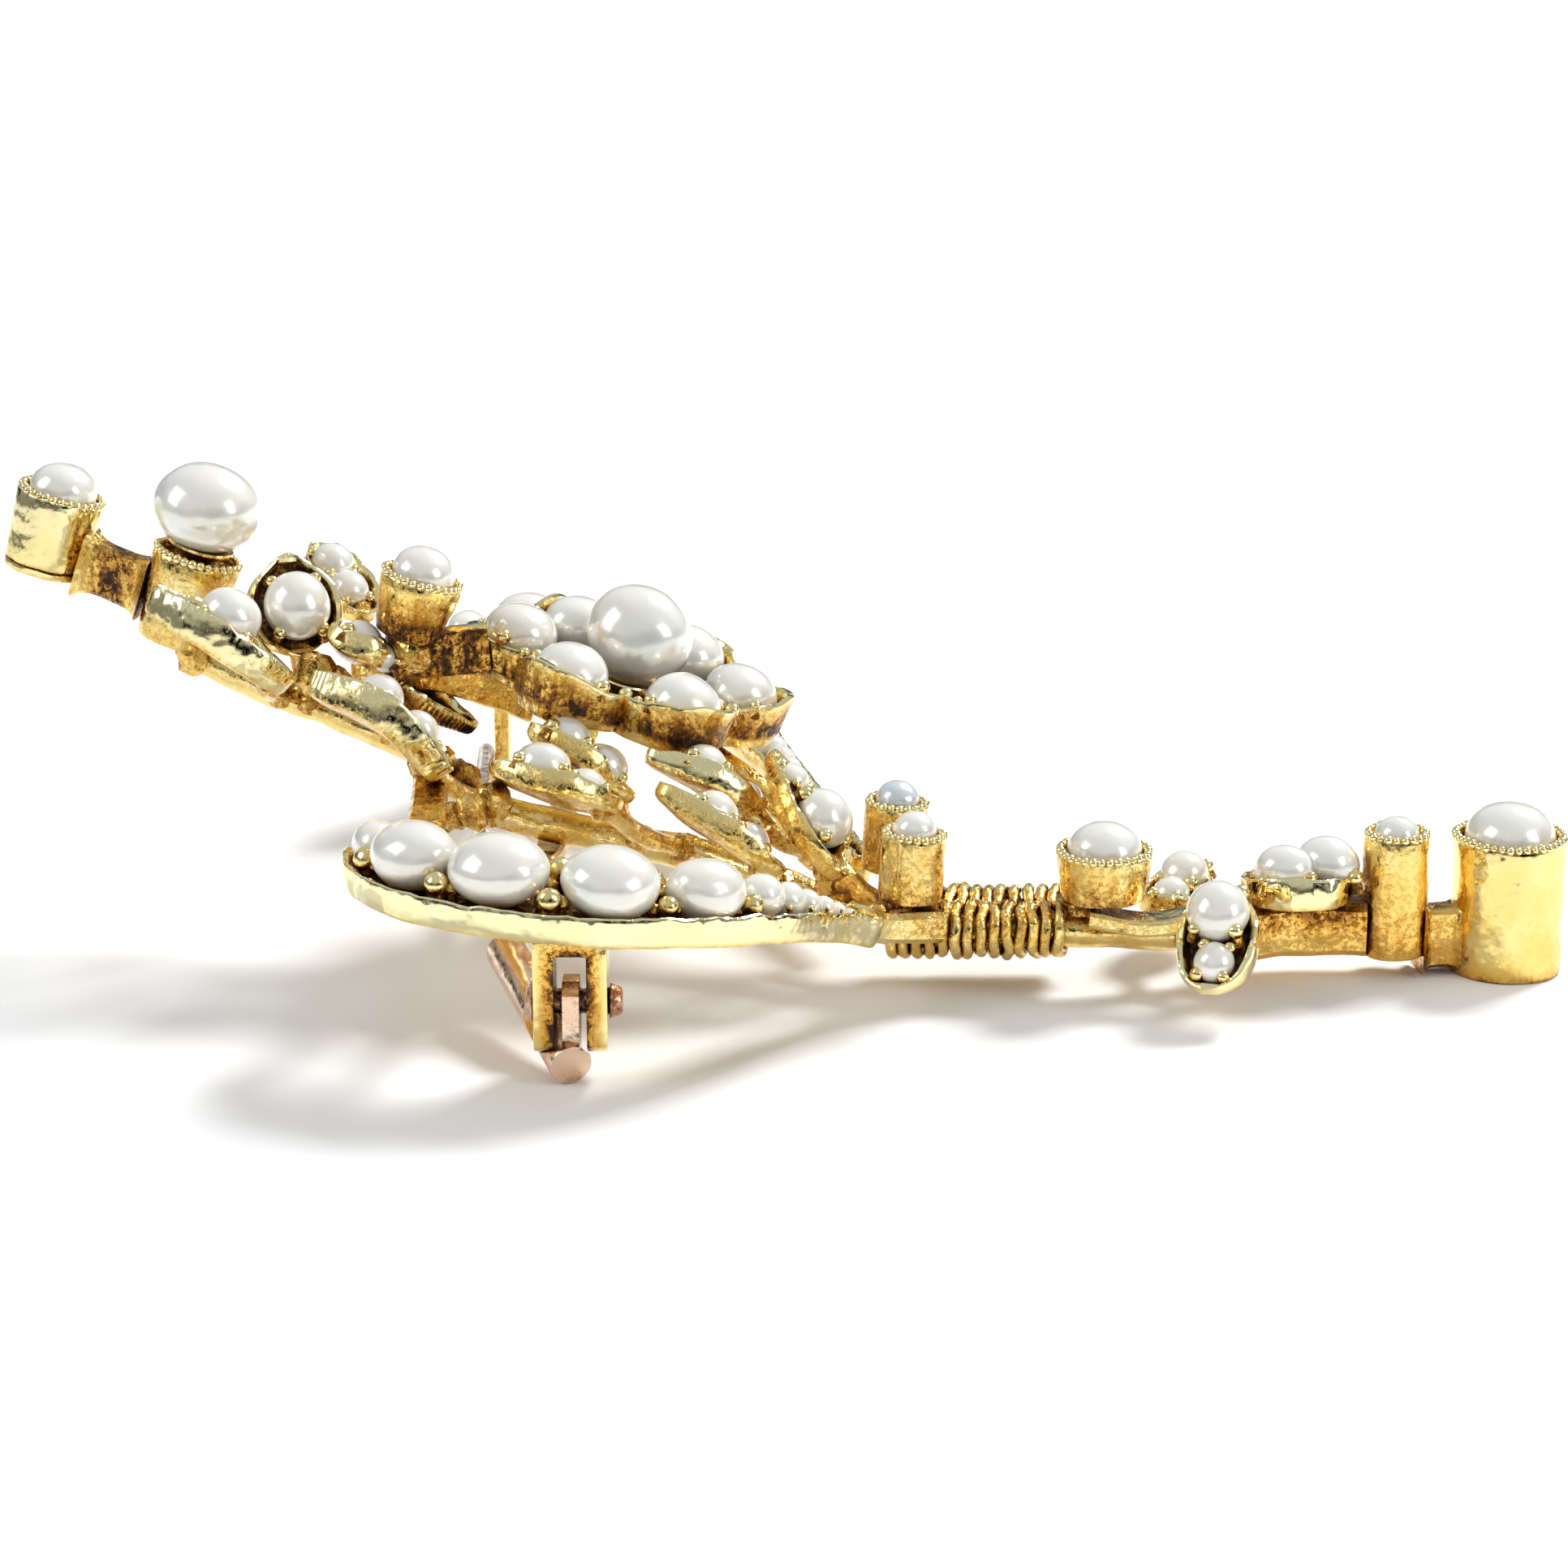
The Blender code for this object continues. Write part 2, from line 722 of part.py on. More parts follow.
def add_flower():
    shape = bmesh.new()
    sides = 60
    floor = -(FLOWER_HEIGHT - TRAY_FLOOR)
    rings = []
    for inset, height, wave in (
        (0.95, -FLOWER_HEIGHT, 0.0),
        (0.3, -FLOWER_HEIGHT * 0.8, 0.2),
        (0.0, 0.0, 1.0),
        (TRAY_WALL, 0.0, 1.0),
        (TRAY_WALL + 0.1, floor, 0.0),
    ):
        ring = []
        for i in range(sides):
            angle = 2 * math.pi * i / sides
            rise = height + wave * petal_swell(angle)
            radius = petal_outline(angle, inset)
            ring.append(shape.verts.new((radius * math.cos(angle), radius * math.sin(angle), rise)))
        rings.append(ring)
    ring_faces(shape, rings)
    for ring, height in ((rings[0], -FLOWER_HEIGHT), (rings[-1], floor)):
        hub = shape.verts.new((0.0, 0.0, height))
        for i in range(sides):
            shape.faces.new((hub, ring[i], ring[(i + 1) % sides]))
    turn = lean_turn(FLOWER_TILT)
    petals = add_object("flower_petals", shape, GOLD, FLOWER_CENTRE, turn)
    for number in range(6):
        height = PETAL_PEARL_RADIUS * PETAL_PEARL_FLATNESS
        offset = flower_point(math.radians(60 * number), PETAL_RING_RADIUS, floor + CLEARANCE + height)
        radii = (PETAL_PEARL_RADIUS, PETAL_PEARL_RADIUS, height)
        add_pearl(f"petal_pearl_{number + 1}", FLOWER_CENTRE + offset, radii, turn)
    add_flower_middle(petals, floor, turn)


def add_flower_middle(petals, floor, turn):
    hollow = FLOWER_CUP_HEIGHT - FLOWER_CUP_HOLLOW
    cup = [
        (0.0, 0.0),
        (0.75, 0.0),
        (1.15, hollow - 0.05),
        (1.3, FLOWER_CUP_HEIGHT),
        (1.05, FLOWER_CUP_HEIGHT),
        (0.8, hollow),
        (0.0, hollow - 0.07),
    ]
    sunk = TRAY_FLOOR / 2
    foot = FLOWER_CENTRE + flower_point(0.0, 0.0, floor - sunk)
    join(petals, add_object("flower_cup", turned(cup), GOLD, foot, turn))
    height = CENTRAL_PEARL_RADIUS * CENTRAL_PEARL_FLATNESS
    rise = floor - sunk + CLEARANCE + hollow + height
    radii = (CENTRAL_PEARL_RADIUS, CENTRAL_PEARL_RADIUS, height)
    add_pearl("central_pearl", FLOWER_CENTRE + flower_point(0.0, 0.0, rise), radii, turn, 20, 12)


AXIS = lean_turn(SPRAY_LEAN) @ UP
CROWN_FOOT = CROWN_COLLET_RIM - AXIS * CROWN_COLLET_HEIGHT
END_FOOT = END_COLLET_RIM - AXIS * END_COLLET_HEIGHT
BUD_FOOT = BUD_COLLET_RIM - AXIS * BUD_COLLET_HEIGHT
CROWN_FOOT_SHARE = 0.88
# name: (foot, radius, height, lean, foot radius over the rim's, the pearl's radii, its rise over the rim)
COLLETS = {
    "tail": (TAIL_COLLET_FOOT, TAIL_COLLET_RADIUS, TAIL_COLLET_HEIGHT, 0.0, 1.0, (1.62, 1.62, 1.25), 0.0),
    "small_tail": (
        SMALL_TAIL_COLLET_FOOT,
        SMALL_TAIL_COLLET_RADIUS,
        SMALL_TAIL_COLLET_HEIGHT,
        0.0,
        1.0,
        (0.82, 0.82, 0.8),
        -0.15,
    ),
    "middle": (
        MIDDLE_COLLET_FOOT,
        MIDDLE_COLLET_RADIUS,
        MIDDLE_COLLET_HEIGHT,
        0.0,
        0.89,
        (1.3, 1.3, 1.0),
        0.05,
    ),
    "twin_front": (
        TWIN_FRONT_FOOT,
        TWIN_COLLET_RADIUS,
        TWIN_FRONT_HEIGHT,
        TWIN_LEAN,
        1.0,
        (0.78, 0.78, 0.7),
        0.1,
    ),
    "twin_rear": (
        TWIN_REAR_FOOT,
        TWIN_COLLET_RADIUS,
        TWIN_REAR_HEIGHT,
        TWIN_LEAN,
        1.0,
        (0.78, 0.78, 0.7),
        0.1,
    ),
    "bud": (BUD_FOOT, BUD_COLLET_RADIUS, BUD_COLLET_HEIGHT, SPRAY_LEAN, 0.77, (1.16, 1.16, 1.0), 0.15),
    "end": (END_FOOT, END_COLLET_RADIUS, END_COLLET_HEIGHT, SPRAY_LEAN, 0.88, (1.26, 1.26, 1.05), 0.1),
}


def add_collets():
    for name, (foot, radius, height, lean, foot_share, pearl, rise) in COLLETS.items():
        depth = pearl[2] + CLEARANCE - rise
        add_collet(name + "_collet", foot, radius, height, lean, radius * foot_share, depth)
        add_pearl(name + "_pearl", collet_seat(foot, height, lean, rise), pearl, lean_turn(lean))
    radius = CROWN_COLLET_RADIUS
    height = CROWN_COLLET_HEIGHT
    seat = CROWN_SEAT_DEPTH
    add_collet("crown_collet", CROWN_FOOT, radius, height, SPRAY_LEAN, radius * CROWN_FOOT_SHARE, seat)
    hollow = CROWN_PEG_HEIGHT - CROWN_PEG_HOLLOW
    peg = [
        (0.0, 0.0),
        (0.5, 0.0),
        (0.62, 0.1),
        (1.1, hollow + 0.05),
        (1.2, CROWN_PEG_HEIGHT),
        (1.0, CROWN_PEG_HEIGHT),
        (0.65, hollow + 0.03),
        (0.0, hollow),
    ]
    turn = lean_turn(SPRAY_LEAN)
    peg_foot = collet_seat(CROWN_FOOT, height, SPRAY_LEAN, CLEARANCE - seat)
    add_object("crown_peg", turned(peg), GOLD, peg_foot, turn)
    rise = 2 * CLEARANCE - seat + hollow + CROWN_PEARL_RADII[2]
    place = collet_seat(CROWN_FOOT, height, SPRAY_LEAN, rise)
    add_pearl("crown_pearl", place, CROWN_PEARL_RADII, turn, 20, 12)


def add_arms():
    """The flat bars that join the end collet to the crown, and the bud to the flower."""
    crown_side = CROWN_FOOT + AXIS * (CROWN_COLLET_HEIGHT * 0.45)
    end_side = END_FOOT + AXIS * (END_COLLET_HEIGHT * 0.3)
    direction = (crown_side - end_side).normalized()
    start = end_side + direction * (END_COLLET_RADIUS + CLEARANCE)
    stop = crown_side - direction * (CROWN_COLLET_RADIUS + CLEARANCE)
    bar = sweep([start, stop], flat_section(END_ARM_WIDTH, END_ARM_HEIGHT), start)
    add_object("end_arm", bar, GOLD, start)
    drop = BUD_COLLET_RADIUS * 0.3 + 2 * CLEARANCE + BUD_ARM_HEIGHT / 2 + 0.2 * PETAL_GROWTH
    start = BUD_FOOT - UP * drop
    reach = petal_outline(BUD_ARM_ANGLE, 0.0) + CLEARANCE + BUD_ARM_WIDTH
    stop = FLOWER_CENTRE + flower_point(BUD_ARM_ANGLE, reach, -BUD_ARM_HEIGHT / 2)
    bar = sweep([start, (start + stop) / 2, stop], flat_section(BUD_ARM_WIDTH, BUD_ARM_HEIGHT), start)
    add_object("bud_arm", bar, GOLD, start)


def add_tail():
    """The bar under the tail leaf, and the web between the two tail collets."""
    level = Vector((1.0, 1.0, 0.0))
    run = (TAIL_COLLET_FOOT - SMALL_TAIL_COLLET_FOOT) * level
    run.normalize()
    joint = SMALL_TAIL_COLLET_FOOT * level
    rise = UP * (SMALL_TAIL_COLLET_FOOT.z + 0.6)
    start = joint + run * (SMALL_TAIL_COLLET_RADIUS + CLEARANCE) + rise
    stop = TAIL_COLLET_FOOT * level - run * (TAIL_COLLET_RADIUS + CLEARANCE) + rise
    web = sweep([start, stop], flat_section(TAIL_WEB_WIDTH, TAIL_WEB_HEIGHT), start)
    add_object("tail_web", web, GOLD, start)
    start = Vector(MAIN_STEM[0]) + Vector((CLEARANCE, 0.0, 0.0))
    stop = joint + Vector((-SMALL_TAIL_COLLET_RADIUS - CLEARANCE, 0.0, start.z))
    middle = Vector(((start.x + stop.x) / 2, stop.y, start.z))
    bar = sweep([start, middle, stop], flat_section(TAIL_BAR_WIDTH, TAIL_BAR_HEIGHT), start)
    add_object("tail_bar", bar, GOLD, start)


def add_leaves(main, flower):
    for name, (points, lean, tallness) in LEAVES.items():
        if name in LEAVES_UNDER_PETALS:
            points = [(x, y, z - UNDER_PETALS_DROP, width) for x, y, z, width in points]
        leaf = Tray(points, LEAF_HEIGHT * tallness, lean=lean)
        stalk = None
        if name in LEAF_ROOTS:
            share, on_flower_stem, stem_share = LEAF_ROOTS[name]
            stem, radius = (flower, FLOWER_STEM_RADIUS) if on_flower_stem else (main, STEM_RADIUS)
            stalk = stalk_between(leaf, share, stem, stem_share, radius)
        add_tray(name, leaf, stalk)


def add_catch(far):
    """A strip that hangs from the far scroll and turns under the pin."""
    inner = PIN_WIRE_RADIUS + PIN_PLAY
    outer = inner + CATCH_THICKNESS
    shares = [i / 100 for i in range(101)]
    above = min((far.route.place(share) for share in shares), key=lambda place: (place - PIN_TIP).xy.length)
    top = above.z - far.height - 3 * CLEARANCE - PIN_TIP.z
    steps = 8
    inside = [(inner, top)]
    outside = [(outer, top)]
    for step in range(steps + 1):
        angle = -math.radians(CATCH_BEND) * step / steps
        inside.append((inner * math.cos(angle), inner * math.sin(angle)))
        outside.append((outer * math.cos(angle), outer * math.sin(angle)))
    outline = [*inside, *reversed(outside)]
    shape = bmesh.new()
    rings = []
    for y in (-CATCH_WIDTH / 2, CATCH_WIDTH / 2):
        rings.append([shape.verts.new((x, y, z)) for x, z in outline])
    ring_faces(shape, rings)
    for ring in rings:
        half = len(ring) // 2
        for i in range(half - 1):
            shape.faces.new((ring[i], ring[i + 1], ring[-i - 2], ring[-i - 1]))
    at = PIN_TIP - Vector((0.0, 1.0, 0.0))
    add_object("pin_catch", shape, GOLD, at)


def rod_of(radius, length, sides):
    shape = bmesh.new()
    bmesh.ops.create_cone(shape, cap_ends=True, segments=sides, radius1=radius, radius2=radius, depth=length)
    return shape


def add_hinge():
    """Two lugs under the near scroll carry a rivet on which the pin's knuckle turns."""
    gap = KNUCKLE_WIDTH / 2 + KNUCKLE_GAP
    width = gap + LUG_THICKNESS
    edge = math.asin(LUG_HALF_DEPTH / LUG_REACH)
    turns = [-edge + 2 * edge * i / 8 for i in range(9)]
    outline = [(LUG_REACH * math.sin(a), -LUG_REACH * math.cos(a)) for a in turns]
    outline = [(-LUG_HALF_DEPTH, LUG_TOP), *outline, (LUG_HALF_DEPTH, LUG_TOP)]
    shape = bmesh.new()
    bmesh.ops.create_cube(shape, size=1.0)
    bmesh.ops.scale(shape, vec=Vector((2 * width, 2 * LUG_HALF_DEPTH, LUG_BRIDGE)), verts=shape.verts)
    bmesh.ops.translate(shape, vec=Vector((0.0, 0.0, LUG_TOP - LUG_BRIDGE / 2)), verts=shape.verts)
    bracket = add_object("hinge_bracket", shape, GOLD, HINGE_AXIS)
    for side in (-1, 1):
        lug = bmesh.new()
        rings = []
        for x in (side * gap, side * width):
            rings.append([lug.verts.new((x, y, z)) for y, z in outline])
        ring_faces(lug, rings)
        lug.faces.new(rings[0])
        lug.faces.new(rings[1])
        join(bracket, add_object("lug_helper", lug, GOLD, HINGE_AXIS))
    across = Quaternion((0.0, 1.0, 0.0), math.radians(90))
    bore = rod_of(BORE_RADIUS, 4 * width, 20)
    join(bracket, add_object("lug_bore", bore, GOLD, HINGE_AXIS, across), "DIFFERENCE")
    half = width + CLEARANCE
    profile = [
        (0.0, -half - RIVET_HEAD_HEIGHT),
        (RIVET_HEAD_RADIUS * 0.63, -half - RIVET_HEAD_HEIGHT),
        (RIVET_HEAD_RADIUS, -half),
        (RIVET_RADIUS, -half),
        (RIVET_RADIUS, half),
        (RIVET_END_RADIUS, half),
        (RIVET_END_RADIUS * 0.68, half + RIVET_END_HEIGHT),
        (0.0, half + RIVET_END_HEIGHT),
    ]
    add_object("hinge_rivet", turned(profile, 20), ROSE_GOLD, HINGE_AXIS, across)


def add_pin():
    """The knuckle on the rivet carries a stout rod, and the rod carries the wire to the catch."""
    across = Quaternion((0.0, 1.0, 0.0), math.radians(90))
    foot = Vector((HINGE_AXIS.x, HINGE_AXIS.y - 1.0, PIN_ROD_RADIUS))
    knuckle = bmesh.new()
    drop = foot.z - HINGE_AXIS.z
    profile = [(0.8, 0.3), (0.85, drop), (-0.9, drop), (-0.8, -0.6), (-0.8, 0.4), (-0.4, 0.8), (0.4, 0.8)]
    rings = []
    for x in (-KNUCKLE_WIDTH / 2, KNUCKLE_WIDTH / 2):
        rings.append([knuckle.verts.new((x, y, z)) for y, z in profile])
    ring_faces(knuckle, rings)
    knuckle.faces.new(rings[0])
    knuckle.faces.new(rings[1])
    body = add_object("pin_knuckle", knuckle, ROSE_GOLD, HINGE_AXIS)
    run = (PIN_KNEE - foot).normalized()
    points = [foot, foot + run * ROD_LENGTH, PIN_KNEE]
    rod = sweep(points, round_section(PIN_ROD_RADIUS, 16), HINGE_AXIS, steps=3)
    join(body, add_object("rod_helper", rod, ROSE_GOLD, HINGE_AXIS))
    width = KNUCKLE_WIDTH / 2 + KNUCKLE_GAP + LUG_THICKNESS
    for side in (-1, 1):
        notch = rod_of(LUG_REACH + CLEARANCE, 2 * (KNUCKLE_GAP + LUG_THICKNESS), 32)
        middle = HINGE_AXIS + Vector((side * width, 0.0, 0.0))
        join(body, add_object("rod_notch", notch, ROSE_GOLD, middle, across), "DIFFERENCE")
    bore = rod_of(BORE_RADIUS, 4 * width, 20)
    join(body, add_object("knuckle_bore", bore, ROSE_GOLD, HINGE_AXIS, across), "DIFFERENCE")
    start = PIN_KNEE + Vector((0.0, 0.2, 0.0))
    points = [start, (-10.5, -4.0, 2.45), (-11.75, 6.0, 2.05), tuple(PIN_TIP + Vector((0.0, 1.2, 0.0)))]

    def needle(share):
        radius = PIN_WIRE_RADIUS * (1 - 0.75 * max(0.0, (share - 0.96) / 0.04))
        return round_section(radius)(share)

    add_object("pin_wire", sweep(points, needle, start, steps=8), ROSE_GOLD, start)


def stand_on_floor():
    """Moves the whole brooch so that its box is centred over the origin and rests on the floor."""
    bpy.context.view_layer.update()
    graph = bpy.context.evaluated_depsgraph_get()
    low = [math.inf] * 3
    high = [-math.inf] * 3
    for piece in bpy.data.objects:
        if piece.type != "MESH" or piece.hide_render:
            continue
        evaluated = piece.evaluated_get(graph)
        for vertex in evaluated.data.vertices:
            point = evaluated.matrix_world @ vertex.co
            low = [min(a, b) for a, b in zip(low, point)]
            high = [max(a, b) for a, b in zip(high, point)]
    root.location = (-(low[0] + high[0]) / 2, -(low[1] + high[1]) / 2, -low[2])


def build():
    main, flower = add_stems()
    add_binding()
    near, far = add_scrolls()
    add_strut(near, far, main)
    add_flower()
    add_collets()
    add_arms()
    add_tail()
    add_leaves(main, flower)
    add_catch(far)
    add_hinge()
    add_pin()
    stand_on_floor()


clear_scene()
root = bpy.data.objects.new("brooch", None)
bpy.context.scene.collection.objects.link(root)
build()
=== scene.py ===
"""The floral spray brooch: old yellow gold, bright-cut rims, a rose gold pin and natural pearls.

Lengths are in millimetres in the maker's own frame, until set_down() moves them to where
the frame stands.
"""

import math
import random

import bmesh
import bpy
from mathutils import Matrix, Quaternion, Vector, noise


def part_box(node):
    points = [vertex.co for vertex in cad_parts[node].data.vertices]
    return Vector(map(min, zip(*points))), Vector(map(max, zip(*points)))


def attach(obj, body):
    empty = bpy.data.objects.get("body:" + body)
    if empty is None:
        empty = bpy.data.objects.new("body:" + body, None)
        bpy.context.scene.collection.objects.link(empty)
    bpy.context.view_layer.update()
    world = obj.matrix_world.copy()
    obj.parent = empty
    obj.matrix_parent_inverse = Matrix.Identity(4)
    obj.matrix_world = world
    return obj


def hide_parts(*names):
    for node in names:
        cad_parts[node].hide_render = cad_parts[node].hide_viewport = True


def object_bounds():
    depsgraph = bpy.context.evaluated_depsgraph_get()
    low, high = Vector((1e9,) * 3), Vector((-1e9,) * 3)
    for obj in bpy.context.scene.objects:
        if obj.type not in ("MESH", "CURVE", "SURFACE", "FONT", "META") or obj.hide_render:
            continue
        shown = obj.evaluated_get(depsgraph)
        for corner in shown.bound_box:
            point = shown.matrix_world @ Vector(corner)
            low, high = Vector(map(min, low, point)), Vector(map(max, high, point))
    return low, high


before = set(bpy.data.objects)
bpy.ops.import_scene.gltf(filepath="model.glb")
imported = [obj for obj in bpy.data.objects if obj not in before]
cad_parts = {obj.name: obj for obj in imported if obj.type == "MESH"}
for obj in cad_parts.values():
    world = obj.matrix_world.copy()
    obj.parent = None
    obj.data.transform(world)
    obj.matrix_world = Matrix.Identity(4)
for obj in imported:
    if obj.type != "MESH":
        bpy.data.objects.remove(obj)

cad_low, cad_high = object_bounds()
noise.seed_set(11)  # without a seed, each run would draw another unevenness

MM = 0.001
UP = Vector((0.0, 0.0, 1.0))
CLEARANCE = 0.05  # between pieces that are soldered or set together
DISH_FLOOR = 0.4  # thickness of the floor of a dish and of the flower
BAR_STATIONS_PER_MM = 5.0
TURNED_SIDES = 72
TAIL_COLLET_FOOT = Vector((25.75, -6.4, 0.0))
tail_low, tail_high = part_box("tail_collet")
SHIFT = (tail_low + tail_high) / 2 / MM - TAIL_COLLET_FOOT
SHIFT.z = tail_low.z / MM - TAIL_COLLET_FOOT.z


def set_down(place):
    """From the maker's frame in millimetres to the model's frame in metres."""
    return (Vector(place) + SHIFT) * MM


# ---------------------------------------------------------------- node trees


class Value:
    """A node's output that takes arithmetic; every operator adds one Math node."""

    def __init__(self, tree, socket):
        self.tree = tree
        self.socket = socket

    def maths(self, operation, first, second, clamp=False):
        settings = {"operation": operation, "use_clamp": clamp}
        return self.tree.add("ShaderNodeMath", settings, {0: first, 1: second})

    def __add__(self, other):
        return self.maths("ADD", self, other)

    def __radd__(self, other):
        return self.maths("ADD", other, self)

    def __sub__(self, other):
        return self.maths("SUBTRACT", self, other)

    def __rsub__(self, other):
        return self.maths("SUBTRACT", other, self)

    def __mul__(self, other):
        return self.maths("MULTIPLY", self, other)

    def clamped(self):
        return self.maths("ADD", self, 0.0, clamp=True)

    def rising(self, low, high):
        """0 below low and 1 above high, with a smooth step between."""
        return self.tree.add(
            "ShaderNodeMapRange",
            {"interpolation_type": "SMOOTHSTEP"},
            {"Value": self, "From Min": low, "From Max": high},
        )


class Tree:
    """Adds nodes to a node tree and links them."""

    def __init__(self, nodes):
        self.nodes = nodes

    def add(self, kind, settings=None, inputs=None, output=0):
        node = self.nodes.nodes.new(kind)
        for key, setting in (settings or {}).items():
            if key == "stops":
                self.set_stops(node.color_ramp, setting)
            else:
                setattr(node, key, setting)
        for key, value in (inputs or {}).items():
            self.feed(node.inputs[key], value)
        return Value(self, node.outputs[output])

    def feed(self, socket, value):
        if isinstance(value, Value):
            self.nodes.links.new(value.socket, socket)
        else:
            socket.default_value = value

    def set_stops(self, ramp, stops):
        while len(ramp.elements) < len(stops):
            ramp.elements.new(1.0)
        for element, (position, colour) in zip(ramp.elements, stops):
            element.position = position
            element.color = (*colour, 1.0)


class Finish(Tree):
    """A material on the Principled shader, with patterns measured in millimetres."""

    def __init__(self, name):
        self.material = bpy.data.materials.new(name)
        self.material.use_nodes = True
        super().__init__(self.material.node_tree)
        self.shader = self.nodes.nodes["Principled BSDF"]
        place = self.add("ShaderNodeTexCoord", output="Object")
        inputs = {0: place, "Scale": 1 / MM}
        self.place = self.add("ShaderNodeVectorMath", {"operation": "SCALE"}, inputs)

    def own(self, name):
        """A number that the piece's mesh carries at each point."""
        return self.add("ShaderNodeAttribute", {"attribute_name": name}, output="Fac")

    def cloud(self, per_mm, detail, rough, stretch=None, turn=(0.0, 0.0, 0.0)):
        place = self.place
        if stretch:
            inputs = {"Vector": place, "Rotation": turn, "Scale": stretch}
            place = self.add("ShaderNodeMapping", {}, inputs)
        inputs = {"Vector": place, "Scale": per_mm, "Detail": detail, "Roughness": rough}
        return self.add("ShaderNodeTexNoise", {}, inputs)

    def blend(self, share, first, second):
        inputs = {0: share, 6: first, 7: second}
        return self.add("ShaderNodeMix", {"data_type": "RGBA"}, inputs, output=2)

    def bump(self, height, depth_mm, under=None):
        inputs = {"Strength": 1.0, "Distance": depth_mm * MM, "Height": height}
        if under:
            inputs["Normal"] = under
        return self.add("ShaderNodeBump", {}, inputs)

    def set(self, **values):
        for key, value in values.items():
            self.feed(self.shader.inputs[key.replace("_", " ")], value)
        return self.material


PALE_GOLD = [
    (0.0, (0.91, 0.85, 0.52)),
    (0.22, (0.87, 0.71, 0.30)),
    (0.45, (0.76, 0.49, 0.12)),
    (0.68, (0.38, 0.17, 0.035)),
    (1.0, (0.04, 0.018, 0.008)),
]
DEEP_GOLD = [
    (0.0, (0.94, 0.80, 0.38)),
    (0.25, (0.88, 0.62, 0.18)),
    (0.5, (0.74, 0.40, 0.07)),
    (0.72, (0.34, 0.14, 0.025)),
    (1.0, (0.04, 0.017, 0.007)),
]
ROSE_GOLD = [
    (0.0, (0.93, 0.74, 0.58)),
    (0.35, (0.86, 0.60, 0.43)),
    (0.6, (0.66, 0.38, 0.24)),
    (0.8, (0.34, 0.16, 0.09)),
    (1.0, (0.06, 0.03, 0.02)),
]


def gold_finish(name, stops, shine=0.08, wear=0.16):
    """Worn gold: bright where the mesh says tone 0, brown with old grime where it says 1; ambient
    occlusion paints shade into hollows and between pieces, and stretched noise paints dark reflection
    streaks.
    """
    finish = Finish(name)
    tone = finish.own("tone")
    clouds = finish.cloud(0.6, 3.0, 0.5)
    grain = finish.cloud(11.0, 3.0, 0.65)
    # painted reflection: stretched vertical dark streaks stand in for a dark studio reflected in the
    # gold, strongest where tone is high
    streaks = finish.cloud(1.0, 6.0, 0.7, stretch=(2.2, 2.2, 1.1)).rising(0.42, 0.6)
    specks = finish.cloud(5.5, 4.0, 0.7).rising(0.5, 0.62)
    # painted shade: ambient occlusion darkens the colour in hollows and where pieces meet
    openness = finish.add(
        "ShaderNodeAmbientOcclusion", {"samples": 6}, {"Distance": 0.9 * MM}, output="AO"
    )
    painted_nook_shade = (1 - openness).rising(0.1, 0.85)
    patches = (clouds.rising(0.3, 0.7) - 0.42) * wear
    worked = tone * tone
    # the darkness that picks the colour: real patina and wear from tone and patches, grime specks,
    # painted dark reflection streaks and painted shade in hollows
    dirt_and_painted_shade = tone * (0.62 + tone * 0.38) + patches
    dirt_and_painted_shade = dirt_and_painted_shade + (streaks - 0.4) * worked * 0.6 + (specks - 0.4) * worked * 0.4
    dirt_and_painted_shade = (dirt_and_painted_shade + painted_nook_shade * (0.35 + specks * 0.3) + (grain - 0.5) * 0.04).clamped()
    colour = finish.add("ShaderNodeValToRGB", {"stops": stops}, {"Fac": dirt_and_painted_shade})
    hairlines = finish.cloud(1.0, 2.0, 0.5, stretch=(46.0, 2.2, 5.0), turn=(0.3, 0.5, 0.7))
    cross_lines = finish.cloud(1.0, 2.0, 0.5, stretch=(2.0, 38.0, 4.0), turn=(1.1, 0.2, 2.1))
    scratches = hairlines.rising(0.62, 0.75) + cross_lines.rising(0.64, 0.77)
    roughness = shine + dirt_and_painted_shade * dirt_and_painted_shade * 0.3 + (grain - 0.5) * 0.05 + scratches * 0.03
    dents = finish.cloud(1.0, 2.0, 0.5)
    under = finish.bump(dents, 0.12)
    under = finish.bump(specks * worked, 0.035, under)
    under = finish.bump(scratches * -1.0, 0.0025, under)
    under = finish.bump(grain * dirt_and_painted_shade, 0.008, under)
    return finish.set(
        Base_Color=colour,
        Roughness=roughness.clamped(),
        Metallic=1.0 - (dirt_and_painted_shade.rising(0.72, 1.0)) * 0.45,
        Normal=under,
    )


def pearl_finish(name, cream, blush, cool, lustre=0.19):
    """Nacre: a milky body, a soft mirror on top and faint tints that differ from pearl to pearl."""
    finish = Finish(name)
    tint = finish.own("tint")
    drift = finish.cloud(0.35, 2.0, 0.5)
    mottle = finish.cloud(1.7, 4.0, 0.6)
    body = finish.blend(tint, (*cream, 1.0), (*blush, 1.0))
    body = finish.blend(drift.rising(0.42, 0.7) * 0.6, body, (*cool, 1.0))
    body = finish.blend(mottle.rising(0.55, 0.8) * 0.14, body, (0.78, 0.74, 0.68, 1.0))
    skin = finish.bump(mottle, 0.012)
    skin = finish.bump(finish.cloud(5.5, 2.0, 0.5), 0.0025, skin)
    return finish.set(
        Base_Color=body,
        Metallic=0.24,
        Roughness=(lustre + (mottle - 0.5) * 0.12).clamped(),
        IOR=1.7,
        Subsurface_Weight=0.2,
        Subsurface_Radius=(1.0, 0.85, 0.7),
        Subsurface_Scale=0.4 * MM,
        Coat_Weight=0.6,
        Coat_Roughness=0.06,
        Coat_IOR=1.5,
        Normal=skin,
    )


